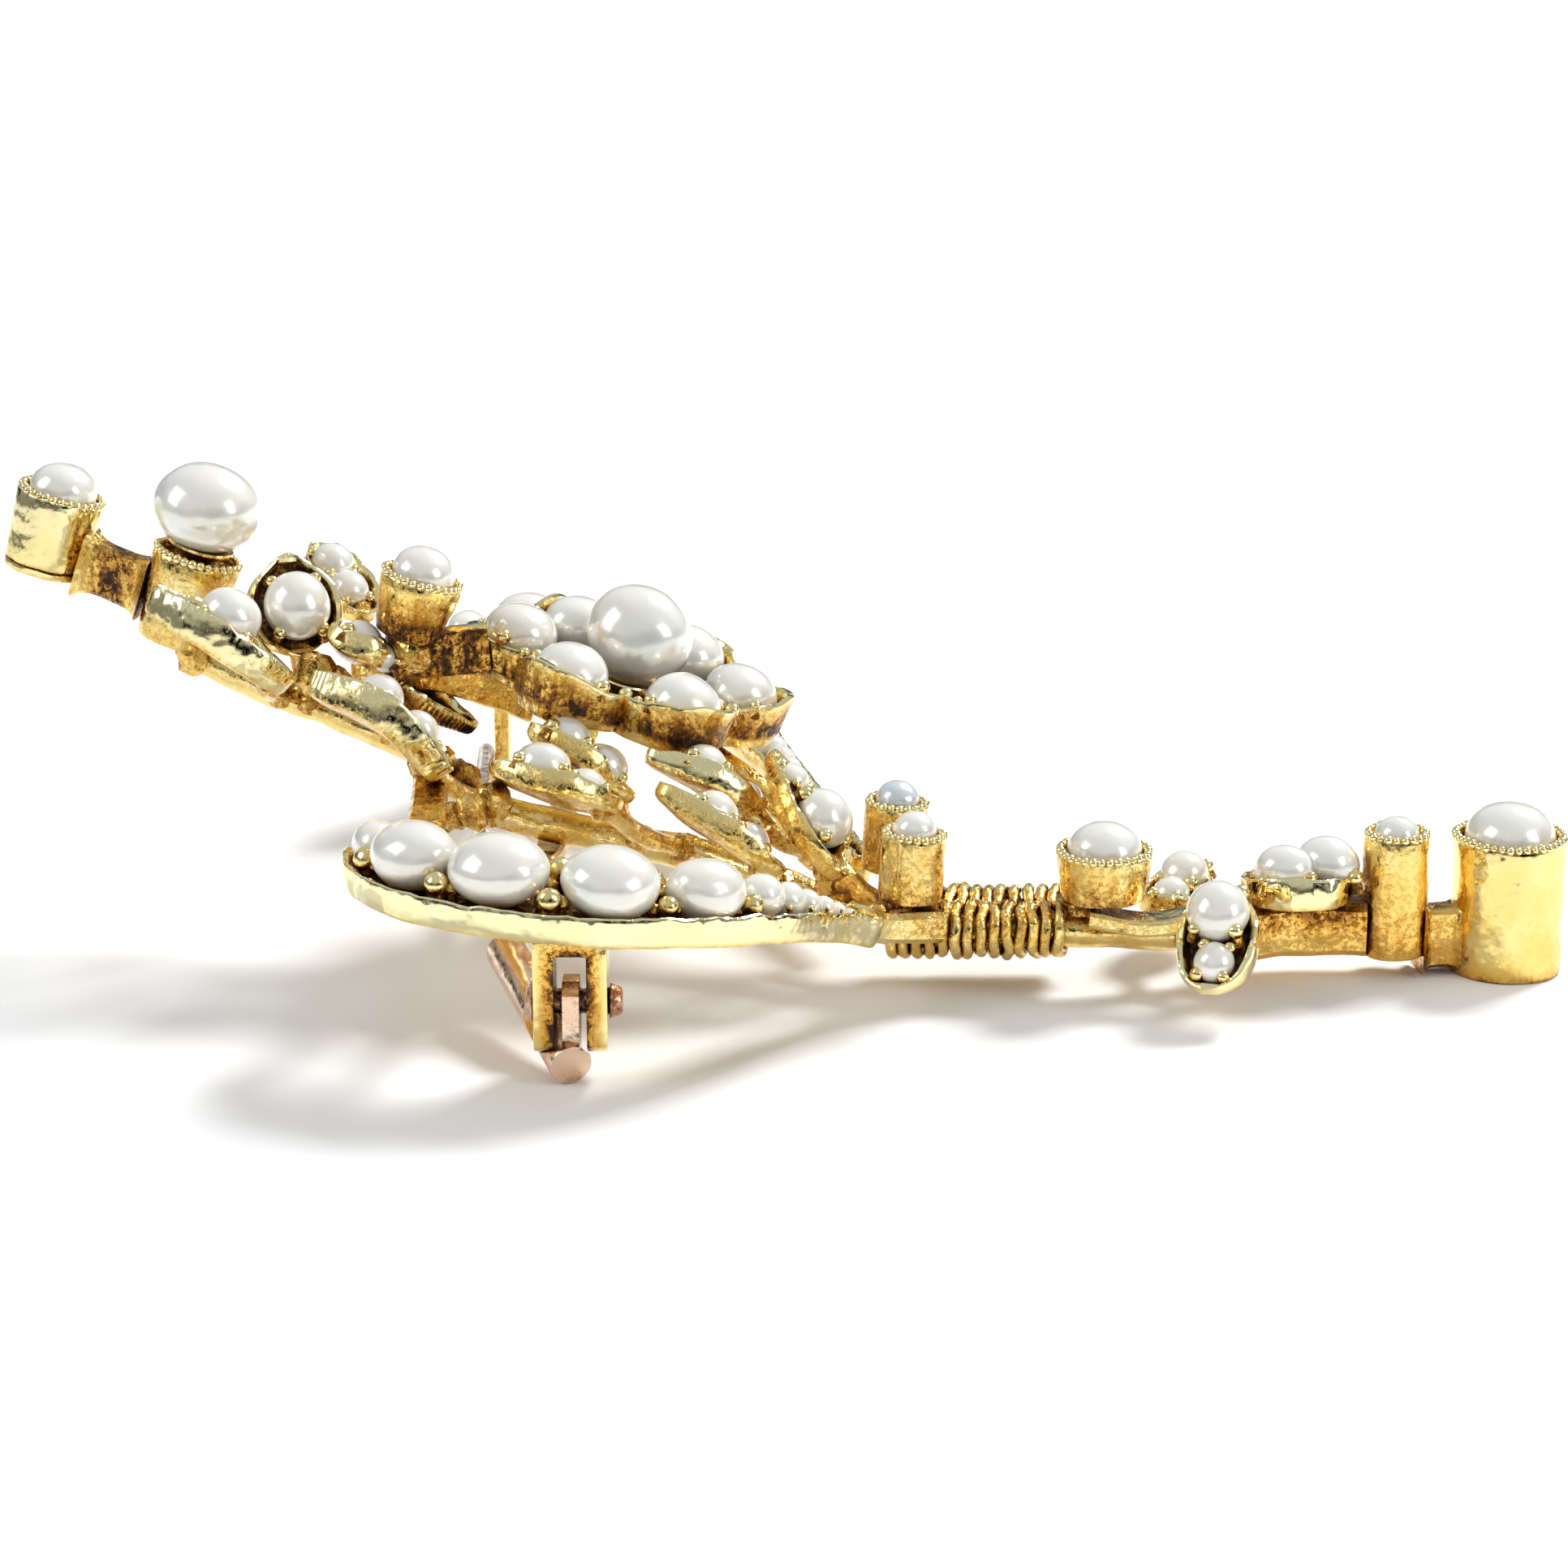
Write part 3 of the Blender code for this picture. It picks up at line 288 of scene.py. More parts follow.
GOLD = gold_finish("old_gold", PALE_GOLD)
BRIGHT = gold_finish("polished_gold", PALE_GOLD, shine=0.05, wear=0.06)
WARM = gold_finish("warm_gold", DEEP_GOLD, shine=0.06, wear=0.14)
ROSE = gold_finish("rose_gold", ROSE_GOLD, shine=0.17, wear=0.3)
WHITE_PEARL = pearl_finish("white_pearl", (0.91, 0.9, 0.82), (0.92, 0.885, 0.8), (0.83, 0.87, 0.82))
GREY_PEARL = pearl_finish(
    "grey_pearl", (0.66, 0.72, 0.76), (0.74, 0.76, 0.78), (0.56, 0.66, 0.72), lustre=0.24
)


# ---------------------------------------------------------------- meshes


def uneven(place, amount, per_mm=0.8):
    """A small push that makes a surface look worked by hand."""
    return noise.noise_vector(Vector(place) * per_mm) * amount


class Piece:
    """Collects closed shells into one mesh, with a tone at every point."""

    def __init__(self, unevenness=0.05):
        self.shape = bmesh.new()
        self.tone = self.shape.verts.layers.float.new("tone")
        self.unevenness = unevenness

    def point(self, place, tone):
        vert = self.shape.verts.new(Vector(place) + uneven(place, self.unevenness))
        vert[self.tone] = tone
        return vert

    def walls(self, rings):
        for lower, upper in zip(rings, rings[1:]):
            for i in range(len(lower)):
                j = (i + 1) % len(lower)
                self.shape.faces.new((lower[i], lower[j], upper[j], upper[i]))

    def strip_cap(self, ring):
        half = len(ring) // 2
        for i in range(half - 1):
            self.shape.faces.new((ring[i], ring[i + 1], ring[-i - 2], ring[-i - 1]))

    def hub_cap(self, ring, place, tone):
        hub = self.point(place, tone)
        for i in range(len(ring)):
            self.shape.faces.new((hub, ring[i], ring[(i + 1) % len(ring)]))

    def rings(self, rows):
        """rows: lists of (place, tone) for each ring."""
        return [[self.point(place, tone) for place, tone in row] for row in rows]

    def finish(self, name, material, nodes=(), crease=38):
        bmesh.ops.recalc_face_normals(self.shape, faces=self.shape.faces)
        for vert in self.shape.verts:
            vert.co = set_down(vert.co)
        mesh = bpy.data.meshes.new(name)
        self.shape.to_mesh(mesh)
        self.shape.free()
        place_piece(name, mesh, material, nodes=nodes, crease=crease)


def place_piece(name, mesh, material, body="brooch", nodes=(), crease=38):
    """Makes a piece of a mesh. Hand unevenness never pushes it out of the frame's own box."""
    for vert in mesh.vertices:
        vert.co = [min(max(at, low), high) for at, low, high in zip(vert.co, cad_low, cad_high)]
    mesh.shade_smooth()
    mesh.set_sharp_from_angle(angle=math.radians(crease))
    mesh.materials.clear()
    mesh.materials.append(material)
    made = bpy.data.objects.new(name, mesh)
    bpy.context.scene.collection.objects.link(made)
    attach(made, body)
    if nodes:
        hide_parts(*nodes)


def smooth_through(points, per_span):
    """Catmull-Rom samples through the points; further values in a point are smoothed with it."""
    first = [2 * a - b for a, b in zip(points[0], points[1])]
    last = [2 * a - b for a, b in zip(points[-1], points[-2])]
    knots = [first, *points, last]
    samples = []
    for span in range(len(points) - 1):
        group = knots[span : span + 4]
        for step in range(per_span + (span == len(points) - 2)):
            t = step / per_span
            weights = (
                (-t + 2 * t**2 - t**3) / 2,
                (2 - 5 * t**2 + 3 * t**3) / 2,
                (t + 4 * t**2 - 3 * t**3) / 2,
                (t**3 - t**2) / 2,
            )
            samples.append([sum(w * p for w, p in zip(weights, values)) for values in zip(*group)])
    return samples


class Route:
    """A smooth line read at any share of its length, with a frame that leans about it."""

    def __init__(self, points, lean=0.0):
        self.samples = smooth_through([list(p) for p in points], 12)
        self.lean = math.radians(lean)
        places = [Vector(s[:3]) for s in self.samples]
        self.distance = [0.0]
        for before, after in zip(places, places[1:]):
            self.distance.append(self.distance[-1] + (after - before).length)
        self.length = self.distance[-1]

    def values(self, share):
        goal = min(max(share, 0.0), 1.0) * self.length
        index = 1
        while index < len(self.samples) - 1 and self.distance[index] < goal:
            index += 1
        gap = self.distance[index] - self.distance[index - 1]
        t = (goal - self.distance[index - 1]) / gap
        return [a + (b - a) * t for a, b in zip(self.samples[index - 1], self.samples[index])]

    def place(self, share):
        return Vector(self.values(share)[:3])

    def frame(self, share):
        step = 0.01
        along = (self.place(share + step) - self.place(share - step)).normalized()
        across = UP.cross(along).normalized()
        across.rotate(Quaternion(along, self.lean))
        return along, across, along.cross(across)


def turn_of(along, across, up):
    return Matrix((along, across, up)).transposed().to_quaternion()


def lean_turn(degrees):
    return Quaternion((0.0, 1.0, 0.0), math.radians(degrees))


def even(tone):
    """The tone of a bar that is the same all over."""
    return lambda share, up: tone


def split(height, below, above):
    """The tone of a bar whose top differs from the rest."""
    return lambda share, up: above if up > height else below


def fading(start, change):
    """The tone of a bar that changes along it."""
    return lambda share, up: start + change * share


def bar(piece, points, section, tone):
    """A closed bar along a route. section(share) gives (across, up) pairs, tone(share, up) the tone."""
    route = Route(points)
    stations = max(8, int(route.length * BAR_STATIONS_PER_MM))
    rows = []
    for station in range(stations + 1):
        share = station / stations
        _, across, up = route.frame(share)
        centre = route.place(share)
        rows.append([(centre + across * a + up * b, tone(share, b)) for a, b in section(share)])
    rings = piece.rings(rows)
    piece.walls(rings)
    for ring, share in ((rings[0], 0.0), (rings[-1], 1.0)):
        piece.hub_cap(ring, route.place(share), tone(share, 0.0))


def add_bar(name, points, section, tone, material, unevenness, nodes=(), crease=38):
    """A bar that is a piece of its own."""
    piece = Piece(unevenness)
    bar(piece, points, section, tone)
    piece.finish(name, material, nodes, crease)


def round_bar(radius, sides, swell=None):
    angles = [2 * math.pi * i / sides for i in range(sides)]

    def outline(share):
        grow = radius * (1.0 + (swell(share) if swell else 0.0))
        return [(grow * math.cos(angle), grow * math.sin(angle)) for angle in angles]

    return outline


def flat_bar(width, height, round_off=0.16, flare=0.0):
    """A rectangular bar with softened corners, flared like a solder fillet at its ends."""

    def outline(share):
        swell = 1.0 + flare * (2.0 * share - 1.0) ** 4
        w, h, r = width / 2 * swell, height / 2 * (1.0 + (swell - 1.0) * 0.3), round_off
        right = ((w - r, -h), (w, -h + r), (w, h - r), (w - r, h))
        left = ((r - w, h), (-w, h - r), (-w, r - h), (r - w, -h))
        return right + left

    return outline


def turned(piece, profile, foot, lean, swell=None):
    """A closed shape turned about its leaning axis.

    The (radius, height, tone) rows of its profile start and end on the axis.
    """
    turn = lean_turn(lean)
    rows = []
    for radius, height, tone in profile[1:-1]:
        row = []
        for i in range(TURNED_SIDES):
            angle = 2 * math.pi * i / TURNED_SIDES
            grow = radius * (1.0 + (swell(angle) if swell else 0.0))
            way = Vector((grow * math.cos(angle), grow * math.sin(angle), height))
            row.append((foot + turn @ way, tone))
        rows.append(row)
    rings = piece.rings(rows)
    piece.walls(rings)
    for ring, (_, height, tone) in ((rings[0], profile[0]), (rings[-1], profile[-1])):
        piece.hub_cap(ring, foot + turn @ Vector((0.0, 0.0, height)), tone)


# ---------------------------------------------------------------- pearls


dice = random.Random(11)


def pearl_shell(shape, tint_layer, place, radii, turn, fineness):
    """One slightly baroque pearl, added to a bmesh."""
    made = bmesh.ops.create_icosphere(shape, subdivisions=fineness, radius=1.0)
    seed = Vector((dice.uniform(-40, 40), dice.uniform(-40, 40), dice.uniform(-40, 40)))
    tint = dice.random()
    for vert in made["verts"]:
        way = vert.co.normalized()
        lumps = 0.035 * noise.noise(way * 1.1 + seed) + 0.009 * noise.noise(way * 3.3 + seed)
        grown = Vector(r * w for r, w in zip(radii, way)) * (1.0 + lumps)
        vert.co = set_down(place + turn @ grown)
        vert[tint_layer] = tint


def add_pearls(name, pearls, material=WHITE_PEARL, nodes=(), fineness=4):
    """pearls: (place, radii, turn) each, in one piece."""
    shape = bmesh.new()
    tint_layer = shape.verts.layers.float.new("tint")
    for place, radii, turn in pearls:
        pearl_shell(shape, tint_layer, place, radii, turn, fineness)
    mesh = bpy.data.meshes.new(name)
    shape.to_mesh(mesh)
    shape.free()
    place_piece(name, mesh, material, nodes=nodes, crease=180)


def add_pearl(node, place, radii, turn, material=WHITE_PEARL):
    """A large pearl in place of its node."""
    add_pearls(node + "_nacre", [(place, radii, turn)], material, (node,), fineness=5)


# ---------------------------------------------------------------- geometry node recipes


class Recipe(Tree):
    """A geometry node tree with named inputs that ends in plain faces with a material."""

    def __init__(self, name, inputs):
        super().__init__(bpy.data.node_groups.new(name, "GeometryNodeTree"))
        face = self.nodes.interface
        face.new_socket("Geometry", in_out="INPUT", socket_type="NodeSocketGeometry")
        for label, kind in inputs:
            face.new_socket(label, in_out="INPUT", socket_type=kind)
        face.new_socket("Geometry", in_out="OUTPUT", socket_type="NodeSocketGeometry")
        self.source = self.nodes.nodes.new("NodeGroupInput")
        self.result = self.nodes.nodes.new("NodeGroupOutput")

    def given(self, label):
        return Value(self, self.source.outputs[label])

    def with_tone(self, geometry, tone):
        settings = {"data_type": "FLOAT", "domain": "POINT"}
        inputs = {"Geometry": geometry, "Name": "tone", "Value": tone}
        return self.add("GeometryNodeStoreNamedAttribute", settings, inputs)

    def chance(self):
        """A size near 1 that differs from copy to copy."""
        spread = self.given("Unevenness")
        inputs = {2: 1.0 - spread, 3: 1.0 + spread, "Seed": self.given("Seed")}
        return self.add("FunctionNodeRandomValue", {"data_type": "FLOAT"}, inputs, 1)

    def end(self, geometry):
        plain = self.add("GeometryNodeRealizeInstances", {}, {"Geometry": geometry})
        inputs = {"Geometry": plain, "Material": self.given("Gold")}
        dressed = self.add("GeometryNodeSetMaterial", {}, inputs)
        self.feed(self.result.inputs["Geometry"], dressed)
        return self

    def grow(self, name, mesh, values, nodes=()):
        """Runs the recipe on a mesh of points and lines and keeps the faces that it makes."""
        seedling = bpy.data.objects.new(name + "_lines", mesh)
        bpy.context.scene.collection.objects.link(seedling)
        modifier = seedling.modifiers.new(self.nodes.name, "NODES")
        modifier.node_group = self.nodes
        for item in self.nodes.interface.items_tree:
            if item.in_out == "INPUT" and item.name in values:
                modifier[item.identifier] = values[item.name]
        graph = bpy.context.evaluated_depsgraph_get()
        grown = bpy.data.meshes.new_from_object(
            seedling.evaluated_get(graph), preserve_all_data_layers=True, depsgraph=graph
        )
        bpy.data.objects.remove(seedling)
        place_piece(name, grown, values["Gold"], nodes=nodes, crease=60)


def lines_mesh(name, lines):
    """A mesh of closed polylines, in place."""
    places, edges = [], []
    for line in lines:
        first = len(places)
        places.extend(set_down(p) for p in line)
        edges.extend((first + i, first + i + 1) for i in range(len(line) - 1))
        edges.append((first + len(line) - 1, first))
    mesh = bpy.data.meshes.new(name)
    mesh.from_pydata([tuple(p) for p in places], edges, [])
    return mesh


def bead_row_recipe():
    """Millegrain: small beads side by side along lines."""
    inputs = [
        ("Spacing", "NodeSocketFloat"),
        ("Bead radius", "NodeSocketFloat"),
        ("Unevenness", "NodeSocketFloat"),
        ("Seed", "NodeSocketInt"),
        ("Gold", "NodeSocketMaterial"),
    ]
    recipe = Recipe("bead_row", inputs)
    curve = recipe.add("GeometryNodeMeshToCurve", {}, {"Mesh": recipe.given("Geometry")})
    inputs = {"Curve": curve, "Length": recipe.given("Spacing")}
    spaced = recipe.add("GeometryNodeResampleCurve", {"mode": "LENGTH"}, inputs)
    inputs = {"Radius": recipe.given("Bead radius"), "Subdivisions": 2}
    bead = recipe.add("GeometryNodeMeshIcoSphere", {}, inputs, "Mesh")
    bead = recipe.with_tone(bead, 0.12)
    size = recipe.chance()
    inputs = {1: (6.0, 6.0, 6.0), "Seed": recipe.given("Seed")}
    turn = recipe.add("FunctionNodeRandomValue", {"data_type": "FLOAT_VECTOR"}, inputs)
    inputs = {"Points": spaced, "Instance": bead, "Rotation": turn, "Scale": size}
    return recipe.end(recipe.add("GeometryNodeInstanceOnPoints", {}, inputs))


def wire_recipe():
    """A drawn wire of one thickness along lines."""
    inputs = [
        ("Wire radius", "NodeSocketFloat"),
        ("Sides", "NodeSocketInt"),
        ("Gold", "NodeSocketMaterial"),
    ]
    recipe = Recipe("drawn_wire", inputs)
    curve = recipe.add("GeometryNodeMeshToCurve", {}, {"Mesh": recipe.given("Geometry")})
    inputs = {"Resolution": recipe.given("Sides"), "Radius": recipe.given("Wire radius")}
    ring = recipe.add("GeometryNodeCurvePrimitiveCircle", {"mode": "RADIUS"}, inputs)
    inputs = {"Curve": curve, "Profile Curve": ring, "Fill Caps": True}
    tube = recipe.add("GeometryNodeCurveToMesh", {}, inputs)
    return recipe.end(recipe.with_tone(tube, 0.48))


def claw_recipe():
    """Pearl claws: a bead on a short tapering post at each point, which says its direction and size."""
    inputs = [
        ("Claw radius", "NodeSocketFloat"),
        ("Unevenness", "NodeSocketFloat"),
        ("Seed", "NodeSocketInt"),
        ("Gold", "NodeSocketMaterial"),
    ]
    recipe = Recipe("pearl_claws", inputs)
    radius = recipe.given("Claw radius")
    ball = recipe.add("GeometryNodeMeshIcoSphere", {}, {"Radius": radius, "Subdivisions": 2}, "Mesh")
    ball = recipe.with_tone(ball, 0.18)
    inputs = {"Radius Top": radius * 0.6, "Radius Bottom": radius * 0.85, "Depth": radius * 2.0}
    inputs.update({"Vertices": 12, "Side Segments": 3})
    post = recipe.add("GeometryNodeMeshCone", {}, inputs, "Mesh")
    drop = recipe.add("ShaderNodeCombineXYZ", {}, {"Z": radius * -2.0})
    post = recipe.add("GeometryNodeTransform", {}, {"Geometry": post, "Translation": drop})
    post = recipe.with_tone(post, 0.75)
    claw = recipe.add("GeometryNodeJoinGeometry", {}, {})
    for part in (post, ball):
        recipe.nodes.links.new(part.socket, claw.socket.node.inputs["Geometry"])
    settings = {"data_type": "FLOAT_VECTOR"}
    up = recipe.add("GeometryNodeInputNamedAttribute", settings, {"Name": "claw_up"})
    size = recipe.add("GeometryNodeInputNamedAttribute", {"data_type": "FLOAT"}, {"Name": "claw_size"})
    size = size * recipe.chance()
    turn = recipe.add("FunctionNodeAlignRotationToVector", {"axis": "Z"}, {"Vector": up})
    points = recipe.given("Geometry")
    inputs = {"Points": points, "Instance": claw, "Rotation": turn, "Scale": size}
    return recipe.end(recipe.add("GeometryNodeInstanceOnPoints", {}, inputs))


BEAD_ROW = bead_row_recipe()
DRAWN_WIRE = wire_recipe()
PEARL_CLAWS = claw_recipe()

claw_points = []  # (place, up, size)
bead_lines = []  # rims that carry millegrain
# (place, radius), to which the leaves add their own
solder_places = [
    (Vector((-16.7, -3.9, 10.3)), 0.75),
    (Vector((-15.9, -4.3, 9.8)), 0.7),
    (Vector((-12.6, -4.4, 7.0)), 0.8),
    (Vector((-11.7, -3.6, 6.2)), 0.75),
    (Vector((-21.6, 0.4, 10.0)), 0.8),
    (Vector((-13.4, -2.9, 11.0)), 0.95),
    (Vector((3.2, -10.4, 3.0)), 0.7),
    (Vector((3.9, -7.9, 2.9)), 0.75),
    (Vector((4.9, -9.4, 2.95)), 0.65),
    (Vector((10.4, -8.6, 3.0)), 0.8),
    (Vector((14.9, -9.7, 2.2)), 0.7),
    (Vector((-11.7, -8.0, 6.1)), 0.55),
    (Vector((-10.9, -8.1, 6.3)), 0.65),
    (Vector((-10.2, -7.7, 6.7)), 0.6),
]


# ---------------------------------------------------------------- dishes: scrolls and leaves


class Dish:
    """A long dish with a wall around it. Its points hold the rim's middle and the half width."""

    def __init__(self, points, height, lean=0.0, stations=60, taper=0.0):
        self.route = Route(points, lean)
        self.taper = taper
        self.height = height
        self.stations = stations
        self.end_shares = [points[0][3] / self.route.length, points[-1][3] / self.route.length]

    def half_width(self, share):
        width = self.route.values(share)[3]
        for reach, end in zip(self.end_shares, (share, 1.0 - share)):
            if end < reach:
                width *= math.sqrt(max(0.0, 1.0 - (1.0 - end / reach) ** 2))
        return width

    def row(self, inset, depth, tone, cut, ribs):
        """The outline drawn in by inset and lowered by depth.

        cut makes the edge wander and ribs make the wall striated.
        """
        margin = max(inset, 0.0) / self.route.length
        left, right = [], []
        for station in range(self.stations + 1):
            share = (1 - math.cos(math.pi * station / self.stations)) / 2
            share = margin + share * (1 - 2 * margin)
            _, across, up = self.route.frame(share)
            width = max(self.half_width(share) - inset, 0.05)
            middle = self.route.place(share)
            shallow = self.taper * (1.0 - math.sqrt(max(0.0, math.sin(math.pi * share))))
            for side, row in ((1.0, left), (-1.0, right)):
                reach = side * (width + ribs * (station % 2))
                place = middle + across * reach - up * depth * (1.0 - shallow)
                wander = noise.noise(place * 1.7 + Vector((side * 9.0, 0.0, 0.0)))
                row.append((place + up * cut * wander, tone))
        return left + right[::-1]

    def build(self, name, material, dark=0.9, wall_tone=0.42, ribs=0.0, stalk=None, cut=0.09, nodes=()):
        floor = self.height - DISH_FLOOR
        # (inset from the outline, depth below the rim, tone, cut, ribs)
        levels = (
            (0.24, self.height, 0.55, 0.0, 0.0),
            (0.07, self.height - 0.05, 0.5, 0.0, 0.0),
            (0.0, self.height * 0.78, wall_tone, 0.0, ribs),
            (-0.03, self.height * 0.5, wall_tone, 0.0, ribs),
            (0.0, 0.12, wall_tone * 0.7, cut * 0.5, ribs),
            (0.05, 0.02, 0.0, cut, 0.0),
            (0.12, -0.01, 0.0, cut, 0.0),
            (0.24, 0.05, 0.0, cut, 0.0),
            (0.33, 0.2, 0.25, cut * 0.5, 0.0),
            (0.36, floor * 0.75, dark, 0.0, 0.0),
            (0.46, floor, dark, 0.0, 0.0),
            (0.75, floor - 0.04, dark, 0.06, 0.0),
        )
        piece = Piece(0.05)
        rings = piece.rings([self.row(*level) for level in levels])
        piece.walls(rings)
        piece.strip_cap(rings[0])
        piece.strip_cap(rings[-1])
        if stalk:
            bar(piece, stalk, round_bar(STALK_RADIUS, 12), even(0.5))
        piece.finish(name, material, nodes=nodes or (name,), crease=26)

    def seat(self, share, side, rise):
        """Place and turn of a pearl that stands on the dish's floor."""
        along, across, up = self.route.frame(share)
        above_rim = rise + CLEARANCE - (self.height - DISH_FLOOR)
        place = self.route.place(share) + across * side + up * above_rim
        return place, turn_of(along, across, up)

    def claw(self, share, side, lift, size):
        """A claw beside a pearl; side is a share of the half width."""
        _, across, up = self.route.frame(share)
        width = max(self.half_width(share) - 0.42, 0.1)
        place = self.route.place(share) + across * side * width + up * lift
        claw_points.append((place, up - across * side * 0.25, size))


SCROLL_HEIGHT = 1.1
STALK_RADIUS = 0.36
MAIN_STEM = [
    (15.9, -7.6, 1.8),
    (13.2, -8.5, 2.0),
    (10.4, -9.05, 2.3),
    (7.0, -9.05, 2.3),
    (3.6, -8.9, 2.3),
    (0.9, -7.4, 3.0),
    (-2.5, -5.2, 3.7),
    (-6.6, -3.6, 4.1),
    (-10.6, -3.0, 5.0),
    (-13.2, -2.2, 6.9),
    (-16.2, -1.2, 8.0),
    (-19.0, -0.1, 8.75),
    (-20.75, 0.5, 9.03),
    (-22.3, 0.95, 9.5),
]
FLOWER_STEM = [
    (10.6, -7.05, 2.3),
    (7.0, -7.05, 2.3),
    (3.6, -6.9, 2.35),
    (1.6, -5.2, 3.6),
    (-0.6, -3.2, 5.4),
    (-2.9, -1.6, 6.75),
]
NEAR_SCROLL = [
    (-13.8, -12.4, 6.75, 1.1),
    (-13.0, -15.2, 6.8, 1.6),
    (-10.4, -17.2, 6.8, 2.05),
    (-6.4, -17.9, 6.45, 2.0),
    (-3.2, -17.1, 5.95, 1.6),
    (-0.7, -15.2, 5.3, 1.35),
    (1.0, -13.2, 4.6, 1.1),
    (2.3, -11.9, 4.0, 0.9),
    (3.4, -11.15, 3.5, 0.75),
]
FAR_SCROLL = [
    (-12.9, 11.6, 7.4, 1.0),
    (-12.4, 14.3, 7.3, 1.6),
    (-9.8, 15.9, 7.0, 2.0),
    (-6.6, 15.2, 6.5, 1.9),
    (-4.0, 12.9, 6.0, 1.5),
    (-2.0, 9.6, 5.4, 1.05),
    (-0.4, 5.6, 4.8, 0.75),
    (1.0, 1.0, 4.4, 0.55),
    (2.9, -4.9, 3.7, 0.4),
]
# share along the scroll, radii along, across and up
NEAR_SCROLL_PEARLS = [
    (0.070, (0.95, 0.8, 0.8)),
    (0.187, (1.5, 1.3, 1.1)),
    (0.323, (1.62, 1.5, 1.15)),
    (0.479, (1.56, 1.5, 1.15)),
    (0.620, (1.35, 1.15, 1.05)),
]
FAR_SCROLL_PEARLS = [
    (0.065, (1.0, 0.8, 0.8)),
    (0.165, (1.4, 1.25, 1.05)),
    (0.275, (1.5, 1.45, 1.1)),
    (0.39, (1.4, 1.35, 1.05)),
    (0.49, (1.15, 1.05, 0.95)),
]


# where seed pearls start on the scroll, radius of the first, how many, how fast they shrink
NEAR_SEEDS = (0.73, 0.8, 7, 0.83)
FAR_SEEDS = (0.575, 0.72, 12, 0.93)


def seed_pearls(dish, share, radius, count, taper, flat=1.0):
    """Small pearls that shrink along the scroll's end."""
    found = []
    for _ in range(count):
        place, turn = dish.seat(share, 0.0, radius * flat)
        found.append((place, (radius, radius, radius * flat), turn))
        dish.claw(share + 0.9 * radius / dish.route.length, 0.8, 0.0, 0.5 * radius)
        dish.claw(share + 0.9 * radius / dish.route.length, -0.8, 0.0, 0.5 * radius)
        share += 1.7 * radius / dish.route.length
        radius *= taper
    return found


def claws_between(dish, row):
    """Claws where one pearl meets the next. Each row starts with its share and the radius along."""
    for (share, radii), (next_share, next_radii) in zip(row, row[1:]):
        gap = (share + next_share + (radii[0] - next_radii[0]) / dish.route.length) / 2
        for side in (-0.72, 0.72):
            dish.claw(gap, side, 0.12, 1.6)
            dish.claw(gap + 0.014, side * 0.75, -0.1, 1.1)
            dish.claw(gap - 0.012, side * 0.55, -0.25, 1.15)


def add_scrolls():
    near = Dish(NEAR_SCROLL, SCROLL_HEIGHT, lean=8, stations=110)
    far = Dish(FAR_SCROLL, SCROLL_HEIGHT, stations=110)
    near.build("near_scroll", BRIGHT, dark=0.6, wall_tone=0.08, cut=0.12)
    far.build("far_scroll", GOLD, wall_tone=0.3, cut=0.1)
    for number, (share, radii) in enumerate(NEAR_SCROLL_PEARLS, 1):
        place, turn = near.seat(share, -0.15, radii[2])
        radii = tuple(radius * 1.04 for radius in radii)
        add_pearl(f"near_scroll_pearl_{number}", place, radii, turn)
    seeds = seed_pearls(near, *NEAR_SEEDS)
    add_pearls("near_scroll_seed_pearls", seeds, nodes=("near_scroll_seed_row",))
    claws_between(near, [*NEAR_SCROLL_PEARLS, (NEAR_SEEDS[0], NEAR_SEEDS[1:2])])
    row = []
    for share, radii in FAR_SCROLL_PEARLS:
        place, turn = far.seat(share, 0.0, radii[2])
        row.append((place, radii, turn))
    row += seed_pearls(far, *FAR_SEEDS, flat=0.9)
    claws_between(far, [*FAR_SCROLL_PEARLS, (FAR_SEEDS[0], FAR_SEEDS[1:2])])
    add_pearls("far_scroll_pearls", row)
    return near, far


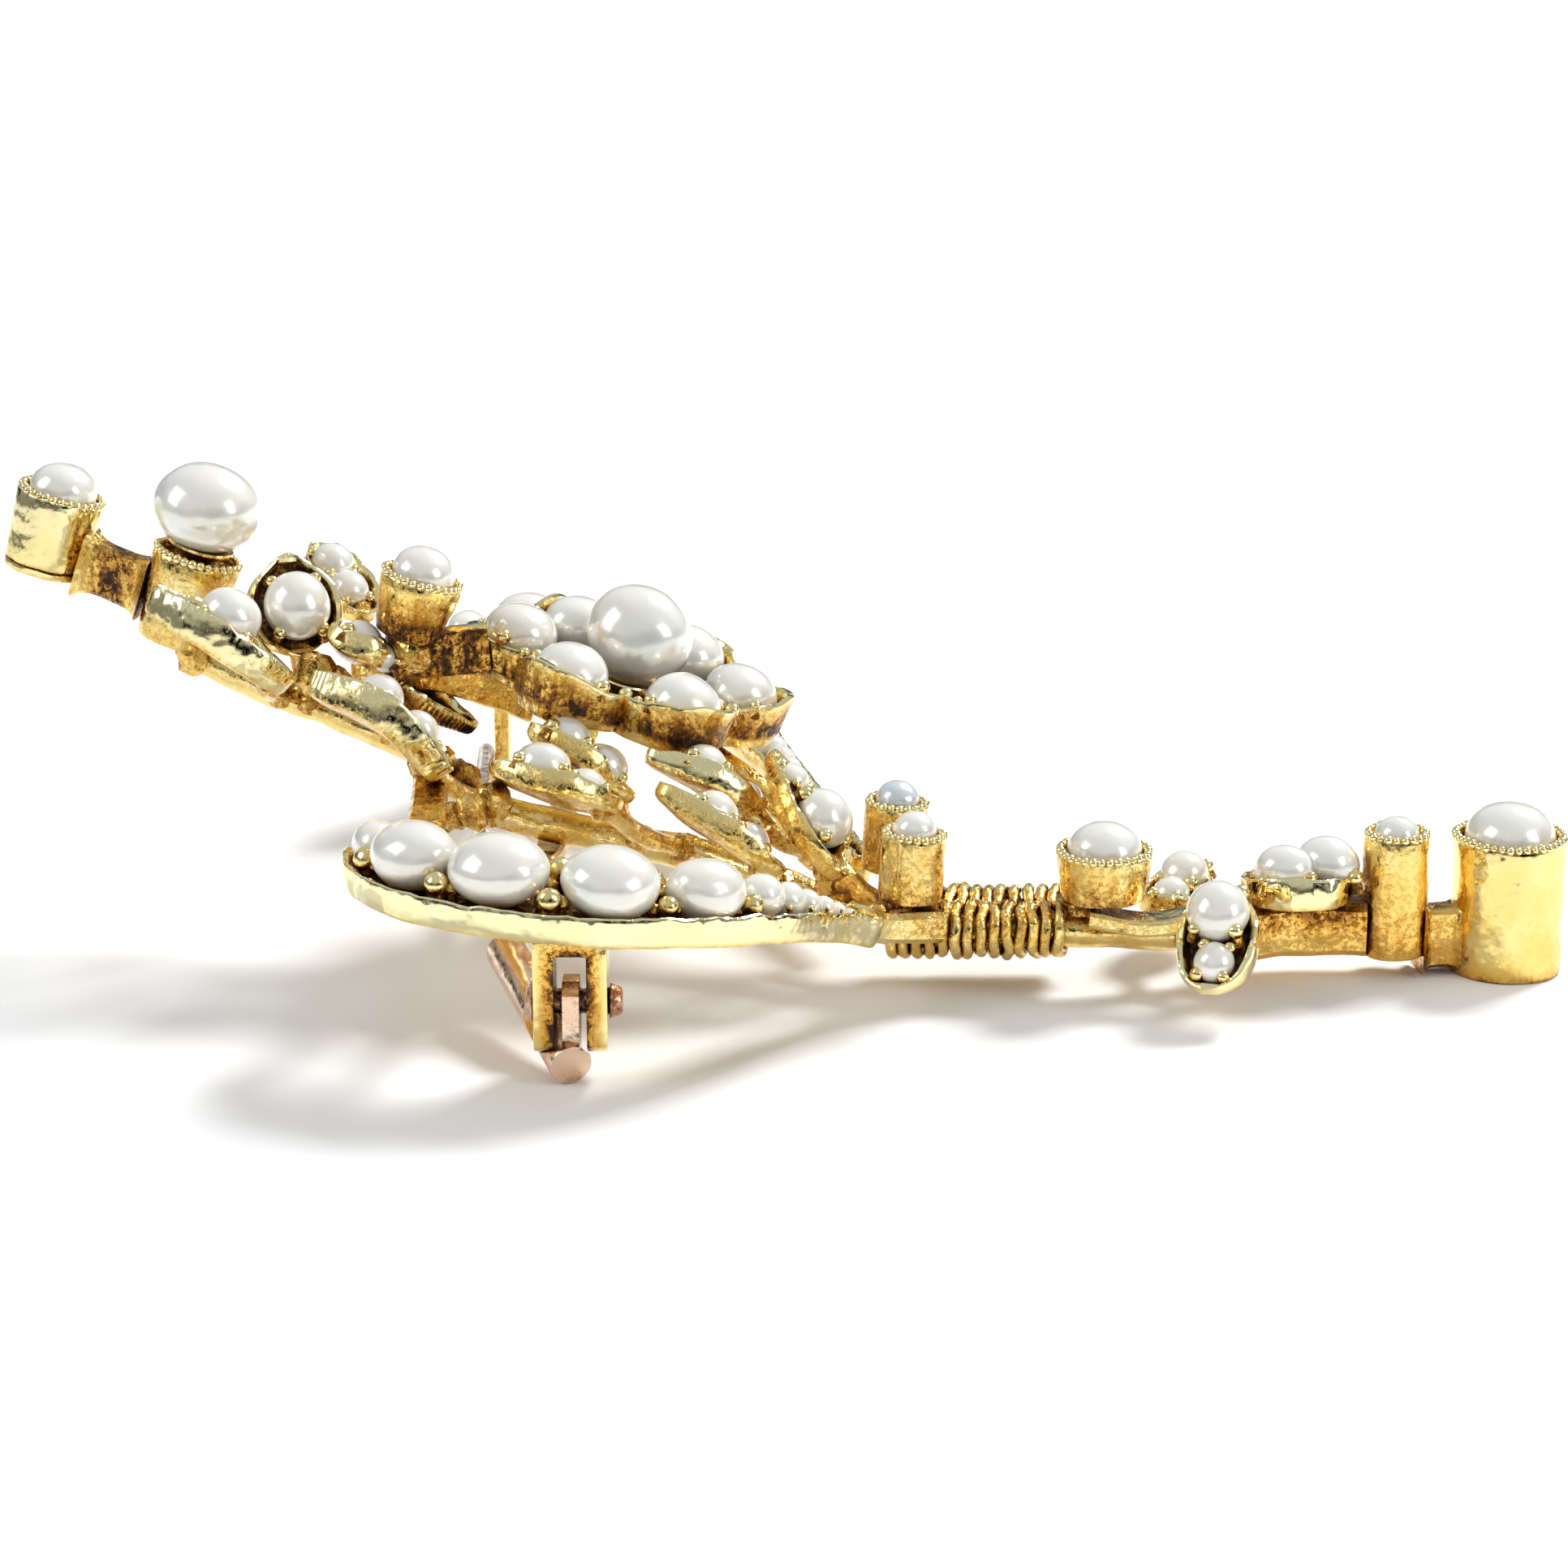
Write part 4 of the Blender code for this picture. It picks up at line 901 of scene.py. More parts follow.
# name: (route of the rim with half widths,
#        lean, finish, wall tone, ribs, pearls as (place, diameter))
LEAVES = {
    "crown_leaf": (
        [(-17.3, -4.4, 10.2, 0.4), (-18.7, -4.3, 11.5, 1.0),
         (-20.5, -4.1, 12.7, 1.15), (-22.4, -3.6, 13.4, 0.4)],
        12, BRIGHT, 0.12, 0.0, [((-19.7, -4.1, 12.35), 2.3)],
    ),
    "bud_leaf": (
        [(-17.2, -3.1, 10.7, 0.8), (-17.4, -2.7, 11.7, 1.62),
         (-17.7, -1.8, 13.0, 1.55), (-17.95, -1.0, 14.0, 0.3)],
        0, GOLD, 0.4, 0.0, [((-17.5, -2.4, 12.3), 2.55)],
    ),
    "back_leaf": (
        [(-15.2, 1.2, 11.2, 0.5), (-15.9, 2.1, 12.0, 1.1),
         (-16.8, 3.2, 12.8, 1.1), (-17.6, 4.2, 13.3, 0.2)],
        0, GOLD, 0.4, 0.0, [((-16.7, 3.0, 12.9), 1.7), ((-16.0, 1.9, 12.1), 1.6)],
    ),
    "small_leaf": (
        [(-13.9, -3.2, 10.6, 0.4), (-14.6, -3.3, 11.2, 0.85),
         (-15.4, -3.4, 11.6, 0.85), (-16.1, -3.4, 12.0, 0.3)],
        20, BRIGHT, 0.25, 0.0, [((-15.1, -3.4, 11.3), 1.6), ((-14.3, -3.4, 10.8), 1.2)],
    ),
    "long_leaf": (
        [(-11.6, -6.9, 7.5, 0.3), (-12.5, -6.4, 8.8, 0.85),
         (-14.0, -6.0, 10.0, 1.1), (-16.5, -5.7, 10.9, 0.3)],
        25, GOLD, 0.2, 0.022, [((-14.0, -6.0, 10.3), 1.7), ((-12.45, -6.3, 9.2), 1.5)],
    ),
    "thorn_leaf": (
        [(-14.3, -1.9, 10.5, 0.7), (-13.2, -2.0, 9.5, 0.8),
         (-12.2, -2.0, 8.7, 0.55), (-11.1, -2.0, 7.8, 0.15)],
        20, GOLD, 0.85, 0.09, [],
    ),
    "front_leaf": (
        [(-5.2, -6.4, 6.4, 0.4), (-6.3, -6.1, 7.4, 1.1),
         (-7.4, -6.2, 8.4, 1.1), (-8.9, -6.2, 9.1, 0.3)],
        20, GOLD, 0.4, 0.0, [((-7.4, -6.0, 9.0), 1.75), ((-6.1, -6.0, 7.7), 1.8)],
    ),
    "forward_leaf": (
        [(-5.6, -7.9, 6.6, 0.4), (-6.9, -8.0, 7.3, 1.15),
         (-8.4, -8.0, 7.8, 1.25), (-10.2, -7.7, 8.1, 0.5)],
        25, GOLD, 0.36, 0.0, [((-8.4, -8.0, 8.0), 2.05), ((-6.75, -8.0, 7.6), 1.55)],
    ),
    "middle_leaf": (
        [(-0.2, -6.3, 5.4, 0.3), (-1.2, -6.2, 6.4, 0.9),
         (-2.7, -6.5, 7.6, 1.0), (-4.8, -6.9, 8.3, 0.3)],
        22, BRIGHT, 0.14, 0.0, [((-2.6, -6.3, 8.0), 1.7), ((-1.2, -6.1, 6.6), 1.4)],
    ),
    "inner_leaf": (
        [(0.1, -8.8, 4.4, 0.3), (-0.8, -8.6, 5.3, 1.0),
         (-2.1, -8.4, 6.3, 1.1), (-4.3, -8.3, 7.5, 0.4)],
        22, GOLD, 0.42, 0.0, [((-2.2, -8.3, 6.7), 1.7), ((-0.9, -8.3, 5.7), 1.5)],
    ),
    "pendant_leaf": (
        [(2.2, -9.2, 4.3, 0.35), (1.5, -8.4, 5.6, 1.15),
         (0.7, -7.2, 6.9, 1.15), (-0.3, -5.8, 8.0, 0.2)],
        30, WARM, 0.5, 0.0, [((1.4, -8.0, 6.05), 2.2), ((0.55, -6.6, 7.3), 1.3)],
    ),
    "tail_leaf_upper": (
        [(20.1, -7.5, 3.75, 0.7), (19.0, -7.5, 3.9, 1.6),
         (17.6, -7.5, 3.9, 1.6), (16.1, -7.7, 3.8, 0.7)],
        8, BRIGHT, 0.1, 0.0, [((19.2, -7.1, 4.4), 2.35), ((17.6, -7.8, 4.1), 2.1)],
    ),
    "tail_leaf_near": (
        [(15.2, -10.1, 4.0, 0.7), (15.0, -11.2, 3.5, 1.35),
         (14.7, -12.4, 2.6, 1.35), (14.3, -13.4, 1.6, 0.9)],
        0, GOLD, 0.22, 0.0, [((14.9, -11.3, 3.7), 2.3), ((14.6, -12.8, 2.5), 1.5)],
    ),
    "tail_leaf_far": (
        [(13.2, -6.2, 2.7, 0.4), (13.8, -5.2, 2.5, 1.1),
         (14.5, -3.9, 2.6, 1.15), (15.3, -2.5, 2.9, 0.2)],
        0, GOLD, 0.35, 0.0, [((14.5, -3.6, 2.8), 1.9), ((13.9, -5.0, 2.4), 1.45)],
    ),
}
LEAF_HEIGHT = 0.95
PEARL_SUNK = 0.35  # how far the half pearls of the leaves reach into the floor
TALL_PEARL_SUNK = 0.05
TALL_LEAVES = {"crown_leaf": 1.35, "long_leaf": 1.35, "tail_leaf_upper": 1.25}
STEM_RADIUS = 0.62
FLOWER_STEM_RADIUS = 0.5
# leaf: (share along the leaf, stem, share along the stem, the stem's radius)
LEAF_ROOTS = {
    "crown_leaf": (0.1, MAIN_STEM, 0.897, STEM_RADIUS),
    "bud_leaf": (0.1, MAIN_STEM, 0.864, STEM_RADIUS),
    "back_leaf": (0.12, MAIN_STEM, 0.816, STEM_RADIUS),
    "small_leaf": (0.2, MAIN_STEM, 0.792, STEM_RADIUS),
    "long_leaf": (0.12, MAIN_STEM, 0.672, STEM_RADIUS),
    "thorn_leaf": (0.3, MAIN_STEM, 0.773, STEM_RADIUS),
    "front_leaf": (0.12, MAIN_STEM, 0.542, STEM_RADIUS),
    "forward_leaf": (0.12, MAIN_STEM, 0.499, STEM_RADIUS),
    "middle_leaf": (0.12, FLOWER_STEM, 0.62, FLOWER_STEM_RADIUS),
    "inner_leaf": (0.12, MAIN_STEM, 0.403, STEM_RADIUS),
    "pendant_leaf": (0.12, MAIN_STEM, 0.346, STEM_RADIUS),
    "tail_leaf_near": (0.3, MAIN_STEM, 0.048, STEM_RADIUS),
    "tail_leaf_far": (0.12, MAIN_STEM, 0.058, STEM_RADIUS),
}


def nearest_share(route, place):
    return min((i / 60 for i in range(61)), key=lambda share: (route.place(share) - place).length)


def add_leaves():
    for name, (points, lean, material, wall_tone, ribs, pearls) in LEAVES.items():
        height = LEAF_HEIGHT * TALL_LEAVES.get(name, 1.0)
        dish = Dish(points, height, lean=lean, stations=64, taper=0.3 if name in TALL_LEAVES else 0.55)
        stalk = None
        if name in LEAF_ROOTS:
            share, stem_points, stem_share, radius = LEAF_ROOTS[name]
            _, _, up = dish.route.frame(share)
            start = dish.route.place(share) - up * (height - 0.45)
            target = Route(stem_points).place(stem_share)
            stop = target + (start - target).normalized() * radius * 0.5
            stalk = [start, (start + stop) / 2 - up * 0.25, stop]
            solder_places.append((stop, 0.62))
            solder_places.append((start, 0.5))
        dish.build(name + "_dish", material, wall_tone=wall_tone, ribs=ribs, stalk=stalk, nodes=(name,))
        seated = []
        for place, diameter in pearls:
            share = nearest_share(dish.route, Vector(place))
            along, across, up = dish.route.frame(share)
            offset = (Vector(place) - dish.route.place(share)).dot(across)
            offset = min(max(offset, -0.45), 0.45)
            radius = diameter / 2
            radii = (radius, radius * 0.94, radius * 0.88)
            sunk = TALL_PEARL_SUNK if name in TALL_LEAVES else PEARL_SUNK
            seat, turn = dish.seat(share, offset, radii[2] - sunk)
            seated.append((seat, radii, turn))
            for angle in (38, 142, 218, 322):
                reach = radius - 0.02
                way = along * math.cos(math.radians(angle)) + across * math.sin(math.radians(angle))
                lift = up * (sunk - CLEARANCE - radii[2] * 0.25)
                claw_points.append((seat + way * reach + lift, up - way * 0.3, 0.75 + 0.2 * radius))
        if seated:
            add_pearls(name + "_pearls", seated)


# ---------------------------------------------------------------- the flower


FLOWER_CENTRE = Vector((-5.65, -1.0, 9.6))
FLOWER_TILT = 16.0
FLOWER_HEIGHT = 1.45
PETAL_RIM_RISE = 0.5
BUD_SIDE_DIP = 0.7
PETAL_REACH = 6.1
PETAL_NOTCH = 1.55
PETAL_RING_RADIUS = 4.15
PETAL_PEARL_RADIUS = 1.38
PETAL_PEARL_HEIGHT = PETAL_PEARL_RADIUS * 0.85
CENTRAL_PEARL_RADIUS = 1.98
CUP_SINK = 0.2
CUP_SEAT = 0.7


def flower_point(angle, radius, height):
    return FLOWER_CENTRE + lean_turn(FLOWER_TILT) @ Vector(
        (radius * math.cos(angle), radius * math.sin(angle), height)
    )


def petal_reach(angle):
    """Rounded lobes that meet in sharp notches."""
    soft = (1 + math.cos(6 * angle)) / 2
    sharp = abs(math.cos(3 * angle)) ** 0.75
    return PETAL_REACH - PETAL_NOTCH * (1 - (0.45 * soft + 0.55 * sharp))


def add_flower():
    floor = DISH_FLOOR - FLOWER_HEIGHT
    sides = 300
    # (inset from the petals' outline, height, tone, share of the rim's wave)
    levels = (
        (1.0, -FLOWER_HEIGHT, 0.4, 0.0),
        (0.42, -FLOWER_HEIGHT * 0.9, 0.35, 0.1),
        (0.3, -FLOWER_HEIGHT * 0.78, 0.3, 0.2),
        (0.17, -FLOWER_HEIGHT * 0.66, 0.9, 0.4),
        (0.1, -FLOWER_HEIGHT * 0.4, 0.72, 0.7),
        (0.04, -0.3, 0.5, 0.9),
        (-0.02, -0.13, 0.3, 1.0),
        (0.0, -0.03, 0.12, 1.0),
        (0.07, 0.02, 0.0, 1.0),
        (0.22, 0.0, 0.0, 1.0),
        (0.34, -0.14, 0.12, 0.9),
        (0.4, -0.4, 0.75, 0.6),
        (0.46, -0.7, 0.9, 0.3),
        (0.5, floor, 0.95, 0.0),
        (1.6, floor - 0.02, 0.95, 0.0),
    )
    piece = Piece(0.08)
    rows = []
    for inset, height, tone, wave in levels:
        row = []
        for i in range(sides):
            angle = 2 * math.pi * i / sides
            chased = 0.035 * noise.noise(Vector((angle * 30, height * 1.2, 3.0))) * (tone > 0.4)
            cut = 0.16 * noise.noise(Vector((math.cos(angle) * 5, math.sin(angle) * 5, 7.0))) * wave
            dip = BUD_SIDE_DIP * math.exp(-(((angle - math.pi) / 0.3) ** 2))
            rise = height + wave * (PETAL_RIM_RISE + 0.28 * math.cos(6 * angle) - dip) + cut
            row.append((flower_point(angle, petal_reach(angle) - inset + chased, rise), tone))
        rows.append(row)
    rings = piece.rings(rows)
    piece.walls(rings)
    piece.hub_cap(rings[0], flower_point(0.0, 0.0, -FLOWER_HEIGHT), 0.5)
    piece.hub_cap(rings[-1], flower_point(0.0, 0.0, floor), 0.95)
    foot = flower_point(0.0, 0.0, floor - CUP_SINK)
    cup = [
        (0.0, 0.0, 0.8), (0.75, 0.0, 0.8), (1.15, 0.65, 0.6), (1.3, 0.88, 0.2), (1.26, 0.95, 0.1),
        (1.05, 0.95, 0.1), (0.8, 0.7, 0.6), (0.0, 0.63, 0.8),
    ]
    turned(piece, cup, foot, FLOWER_TILT)
    piece.finish("flower_petals_chased", GOLD, nodes=("flower_petals",), crease=28)
    turn = lean_turn(FLOWER_TILT)
    for number in range(6):
        angle = math.radians(60 * number)
        place = flower_point(angle, PETAL_RING_RADIUS, floor + CLEARANCE + PETAL_PEARL_HEIGHT)
        radii = (PETAL_PEARL_RADIUS, PETAL_PEARL_RADIUS, PETAL_PEARL_HEIGHT)
        add_pearl(f"petal_pearl_{number + 1}", place, radii, turn)
        for spread, reach, size in ((-20, 5.0, 0.9), (20, 5.0, 0.9), (-30, 3.9, 1.0), (-24, 4.35, 0.7)):
            way = angle + math.radians(spread)
            lean = turn @ Vector((math.cos(way), math.sin(way), 0.0))
            rise = 0.42 if reach > 4.6 else 0.1
            claw_points.append((flower_point(way, reach, rise), turn @ UP - lean * 0.2, size))
    height = CENTRAL_PEARL_RADIUS * 0.93
    place = flower_point(0.0, 0.0, floor - CUP_SINK + CLEARANCE + CUP_SEAT + height)
    add_pearl("central_pearl", place, (CENTRAL_PEARL_RADIUS, CENTRAL_PEARL_RADIUS, height), turn)


# ---------------------------------------------------------------- collets


COLLET_WALL = 0.3
CROWN_SEAT_DEPTH = 0.2
CROWN_PEARL_RADII = (2.0, 1.95, 1.62)
SPRAY_LEAN = 17.0
AXIS = lean_turn(SPRAY_LEAN) @ UP
CROWN_FOOT = Vector((-21.46, 1.0, 13.4)) - AXIS * 3.3
END_FOOT = Vector((-26.5, 2.0, 15.5)) - AXIS * 3.0
BUD_FOOT = Vector((-12.9, -3.0, 13.5)) - AXIS * 2.2
SMALL_TAIL_FOOT = Vector((21.65, -6.9, 0.75))


def facets(count, depth):
    """A swell that turns a round wall into flats."""
    half = math.pi / count

    def swell(angle):
        flat = math.cos(half) / math.cos((angle % (2 * half)) - half)
        return depth * (flat - 1.0) / (1.0 - math.cos(half))

    return swell


# name: (foot, radius, height, lean, foot radius, seat depth, finish, top tone, foot tone, swell)
COLLETS = {
    "tail": (TAIL_COLLET_FOOT, 2.0, 4.9, 0.0, 2.0, 1.3, WARM, 0.12, 0.3, None),
    "small_tail": (SMALL_TAIL_FOOT, 1.16, 4.4, 0.0, 1.16, 1.0, WARM, 0.3, 0.5, None),
    "middle": (Vector((11.15, -9.0, 3.45)), 1.68, 1.7, 0.0, 1.5, 1.0, GOLD, 0.42, 0.62, None),
    "twin_front": (Vector((4.35, -9.6, 3.62)), 1.12, 2.35, 4.0, 1.12, 0.65, GOLD, 0.4, 0.58, None),
    "twin_rear": (Vector((3.85, -6.1, 3.62)), 1.12, 2.45, 4.0, 1.12, 0.65, GOLD, 0.45, 0.6, None),
    "bud": (BUD_FOOT, 1.5, 2.2, SPRAY_LEAN, 1.15, 0.9, WARM, 0.3, 1.0, None),
    "end": (END_FOOT, 1.6, 3.0, SPRAY_LEAN, 1.4, 1.0, BRIGHT, 0.1, 0.3, facets(8, -0.05)),
    "crown": (CROWN_FOOT, 1.65, 3.3, SPRAY_LEAN, 1.45, CROWN_SEAT_DEPTH, GOLD, 0.42, 0.4, None),
}
# name: (radii, rise above the rim)
COLLET_PEARLS = {
    "tail": ((1.62, 1.62, 1.25), 0.0),
    "small_tail": ((0.82, 0.82, 0.8), -0.15),
    "middle": ((1.3, 1.3, 1.0), 0.05),
    "twin_front": ((0.78, 0.78, 0.7), 0.1),
    "twin_rear": ((0.78, 0.78, 0.7), 0.1),
    "bud": ((1.16, 1.16, 1.0), 0.15),
    "end": ((1.26, 1.26, 1.05), 0.1),
}


def on_collet(name, radius, angle, height):
    """A point at this height above the rim."""
    foot, _, full, lean = COLLETS[name][:4]
    way = Vector((radius * math.cos(angle), radius * math.sin(angle), full + height))
    return foot + lean_turn(lean) @ way


def add_collets():
    for name, collet in COLLETS.items():
        foot, radius, height, lean, foot_radius, depth, material, top, low, swell = collet
        bore = radius - COLLET_WALL
        seat_tone = 0.45 if name == "crown" else 0.95
        profile = [
            (0.0, 0.0, low),
            (foot_radius - 0.14, 0.0, low),
            (foot_radius - 0.03, 0.05, low),
            (foot_radius, 0.16, low),
        ]
        steps = 8
        for step in range(1, steps):
            share = step / steps
            wall = foot_radius + (radius - foot_radius) * share
            profile.append((wall, 0.16 + (height - 0.5) * share, low + (top - low) * share))
        profile += [
            (radius, height - 0.14, top),
            (radius - 0.03, height - 0.03, 0.05),
            (radius - 0.09, height, 0.05),
            (bore + 0.07, height, 0.1),
            (bore, height - 0.08, 0.4),
            (bore, height - depth, seat_tone),
            (0.0, height - depth, seat_tone),
        ]
        if name == "end":
            groove = [(0.01, 0.28, 0.1), (0.08, 0.33, 0.95), (0.0, 0.38, 0.6)]
            profile[4:4] = [(foot_radius - depth, rise, tone) for depth, rise, tone in groove]
        piece = Piece(0.055)
        turned(piece, profile, foot, lean, swell=swell)
        piece.finish(name + "_collet_tube", material, nodes=(name + "_collet",))
        ring = [on_collet(name, radius - 0.13, 2 * math.pi * i / 60, 0.02) for i in range(60)]
        bead_lines.append([place + uneven(place, 0.05, 1.5) for place in ring])
    for name, (radii, rise) in COLLET_PEARLS.items():
        place = on_collet(name, 0.0, 0.0, rise)
        nacre = GREY_PEARL if name == "twin_rear" else WHITE_PEARL
        add_pearl(name + "_pearl", place, radii, lean_turn(COLLETS[name][3]), nacre)
    piece = Piece(0.04)
    peg = [
        (0.0, 0.0, 0.7), (0.5, 0.0, 0.7), (0.62, 0.1, 0.6), (1.1, 0.4, 0.4), (1.2, 0.5, 0.2),
        (1.2, 0.6, 0.1), (1.0, 0.6, 0.1), (0.65, 0.38, 0.6), (0.0, 0.35, 0.8),
    ]
    turned(piece, peg, on_collet("crown", 0.0, 0.0, CLEARANCE - CROWN_SEAT_DEPTH), SPRAY_LEAN)
    piece.finish("crown_peg_cup", GOLD, nodes=("crown_peg",))
    place = on_collet("crown", 0.0, 0.0, 0.25 + CROWN_PEARL_RADII[2]) - Vector((0.15, 0.0, 0.0))
    add_pearl("crown_pearl", place, CROWN_PEARL_RADII, lean_turn(SPRAY_LEAN))


# ---------------------------------------------------------------- wires, bars and the winding


def lump(piece, place, size, tone):
    """A run of solder where two pieces meet."""
    rows = []
    for level in range(1, 8):
        polar = math.pi * level / 8
        row = []
        for i in range(16):
            angle = 2 * math.pi * i / 16
            reach = math.sin(polar)
            way = Vector((reach * math.cos(angle), reach * math.sin(angle), math.cos(polar)))
            grow = 1.0 + 0.35 * noise.noise(way * 1.6 + place)
            row.append((place + way * size * grow, tone))
        rows.append(row)
    rings = piece.rings(rows)
    piece.walls(rings)
    piece.hub_cap(rings[0], place + UP * size, tone)
    piece.hub_cap(rings[-1], place - UP * size, tone)


def add_solder():
    """Lumps of solder and gathered gold at the joints."""
    piece = Piece(0.12)
    for place, size in solder_places:
        lump(piece, place, size, 0.6)
    piece.finish("solder_joints", GOLD, crease=30)
    tail = [(2.4, -11.7, 3.35), (3.6, -10.7, 2.95), (5.4, -9.9, 2.7)]
    shape = flat_bar(0.9, 1.1, 0.2)
    add_bar("near_scroll_tail", tail, shape, fading(0.15, 0.5), GOLD, 0.08, crease=30)
    neck = [(10.6, -9.9, 3.1), (12.4, -9.9, 2.75), (13.9, -9.9, 3.0), (15.0, -10.3, 3.6)]
    shape = flat_bar(1.5, 0.55, 0.12)
    add_bar("tail_leaf_neck", neck, shape, fading(0.5, -0.4), GOLD, 0.08, crease=30)
    brace = [(-12.7, -3.5, 6.5), (-12.4, -8.0, 6.45), (-12.5, -12.4, 6.2)]
    shape = flat_bar(1.3, 0.5, 0.12)
    add_bar("scroll_brace", brace, shape, even(0.45), WARM, 0.08, crease=30)


STRUT_STEM_SHARE = 0.629  # where the strut passes under the main stem
STRUT_NEAR_SHARE = 0.24
STRUT_FAR_SHARE = 0.27
STRUT_HEIGHT = 0.55
BUD_ARM_ANGLE = 196  # where the bud's arm meets the petals


def lumpy(share):
    broad = noise.noise(Vector((share * 40.0, 1.0, 0.0)))
    fine = noise.noise(Vector((share * 110.0, 5.0, 0.0)))
    return 0.05 * broad + 0.03 * fine


def add_stems():
    end = [(-20.75, 0.5, 9.4), (-21.8, 0.8, 10.0)]
    for name, points, radius, material in (
        ("main_stem", [*MAIN_STEM[:-2], *end], STEM_RADIUS, GOLD),
        ("flower_stem", FLOWER_STEM, FLOWER_STEM_RADIUS, WARM),
    ):
        shape = round_bar(radius, 24, lumpy)
        add_bar(name + "_wire", points, shape, even(0.36), material, 0.07, (name,))


def arm_tone(share, up):
    return 0.4 + 0.55 * math.sin(math.pi * share) ** 2


def add_bars(near, far):
    """The flat bars: end arm, tail web and bar, bud arm, and the strut under the main stem."""
    crown_side = CROWN_FOOT + AXIS * 1.5
    end_side = END_FOOT + AXIS * 0.9
    way = (crown_side - end_side).normalized()
    points = [end_side + way * 1.45, (crown_side + end_side) / 2, crown_side - way * 1.5]
    shape = flat_bar(0.9, 1.9, flare=0.9)
    add_bar("end_arm_bar", points, shape, arm_tone, GOLD, 0.06, ("end_arm",))

    level = Vector((1.0, 1.0, 0.0))
    run = ((TAIL_COLLET_FOOT - SMALL_TAIL_FOOT) * level).normalized()
    joint = SMALL_TAIL_FOOT * level
    start = joint + run * 0.9 + UP * 1.35
    stop = TAIL_COLLET_FOOT * level - run * 1.75 + UP * 1.35
    points = [start, (start + stop) / 2, stop]
    shape = flat_bar(1.2, 2.15, flare=0.5)
    add_bar("tail_web_bar", points, shape, even(0.45), WARM, 0.05, ("tail_web",))
    start = Vector(MAIN_STEM[0]) - Vector((0.3, 0.0, 0.0))
    stop = joint + Vector((-1.02, 0.0, start.z))
    points = [start, Vector(((start.x + stop.x) / 2, stop.y, start.z)), stop]
    shape = flat_bar(1.75, 1.95, 0.24)
    add_bar("tail_bar_strip", points, shape, split(-0.6, 0.4, 0.72), WARM, 0.06, ("tail_bar",))

    angle = math.radians(BUD_ARM_ANGLE)
    start = BUD_FOOT + Vector((-0.5, -0.1, -0.75))
    stop = flower_point(angle, petal_reach(angle) - 0.15, -0.2)
    points = [start, (start + stop) / 2, stop]
    shape = flat_bar(0.6, 1.75)
    add_bar("bud_arm_wall", points, shape, split(0.8, 0.88, 0.1), GOLD, 0.09, ("bud_arm",), 28)
    points = [(-14.3, -1.7, 9.9), (-12.0, -1.5, 9.5), (-9.0, -1.2, 8.4)]
    shape = flat_bar(0.3, 1.45, 0.1)
    add_bar("bud_arm_plate", points, shape, even(0.35), WARM, 0.1, crease=28)

    stem = Route(MAIN_STEM).place(STRUT_STEM_SHARE)
    ends = []
    for scroll, share in ((near, STRUT_NEAR_SHARE), (far, STRUT_FAR_SHARE)):
        _, _, up = scroll.route.frame(share)
        ends.append(scroll.route.place(share) - up * (scroll.height + 0.25))
    middle = stem - UP * (STEM_RADIUS + CLEARANCE + STRUT_HEIGHT * 0.75)
    points = [ends[0], (ends[0] + middle) / 2, middle, (ends[1] + middle) / 2, ends[1]]
    shape = flat_bar(1.1, STRUT_HEIGHT, 0.12)
    add_bar("cross_strut_strip", points, shape, even(0.28), WARM, 0.04, ("cross_strut",))


BINDING_START = Vector((3.75, -8.05, 2.3))
BINDING_LENGTH = 6.3
BINDING_WIRE_RADIUS = 0.21
STEM_HALF_GAP = 1.0  # half the way from stem to stem inside the binding
BINDING_TURNS = 14
BINDING_SQUARENESS = 0.62  # 1 makes the loops elliptic, less makes them boxier


def add_winding():
    """Turns of wire round the two stems, dipping into the valley between them."""
    pitch = BINDING_LENGTH / BINDING_TURNS
    width, height = STEM_HALF_GAP + STEM_RADIUS + 0.22, STEM_RADIUS + 0.24
    loops = []
    for turn in range(BINDING_TURNS):
        loop = []
        for i in range(56):
            angle = 2 * math.pi * i / 56
            side = math.copysign(abs(math.cos(angle)) ** BINDING_SQUARENESS, math.cos(angle))
            rise = math.copysign(abs(math.sin(angle)) ** BINDING_SQUARENESS, math.sin(angle))
            valley = 0.42 * math.exp(-((side * width / 0.5) ** 2)) * (1 if rise > 0 else -0.5)
            drift = 0.28 * side + 0.16 * noise.noise(Vector((turn * 1.7, angle, 0.0)))
            along = pitch * (turn + 0.5) + drift
            place = BINDING_START + Vector((along, side * width, rise * height - valley))
            loop.append(place + uneven(place, 0.12, 1.3))
        loops.append(loop)
    values = {"Wire radius": BINDING_WIRE_RADIUS * MM, "Sides": 10, "Gold": GOLD}
    DRAWN_WIRE.grow("stem_winding", lines_mesh("winding_lines", loops), values, ("stem_binding",))


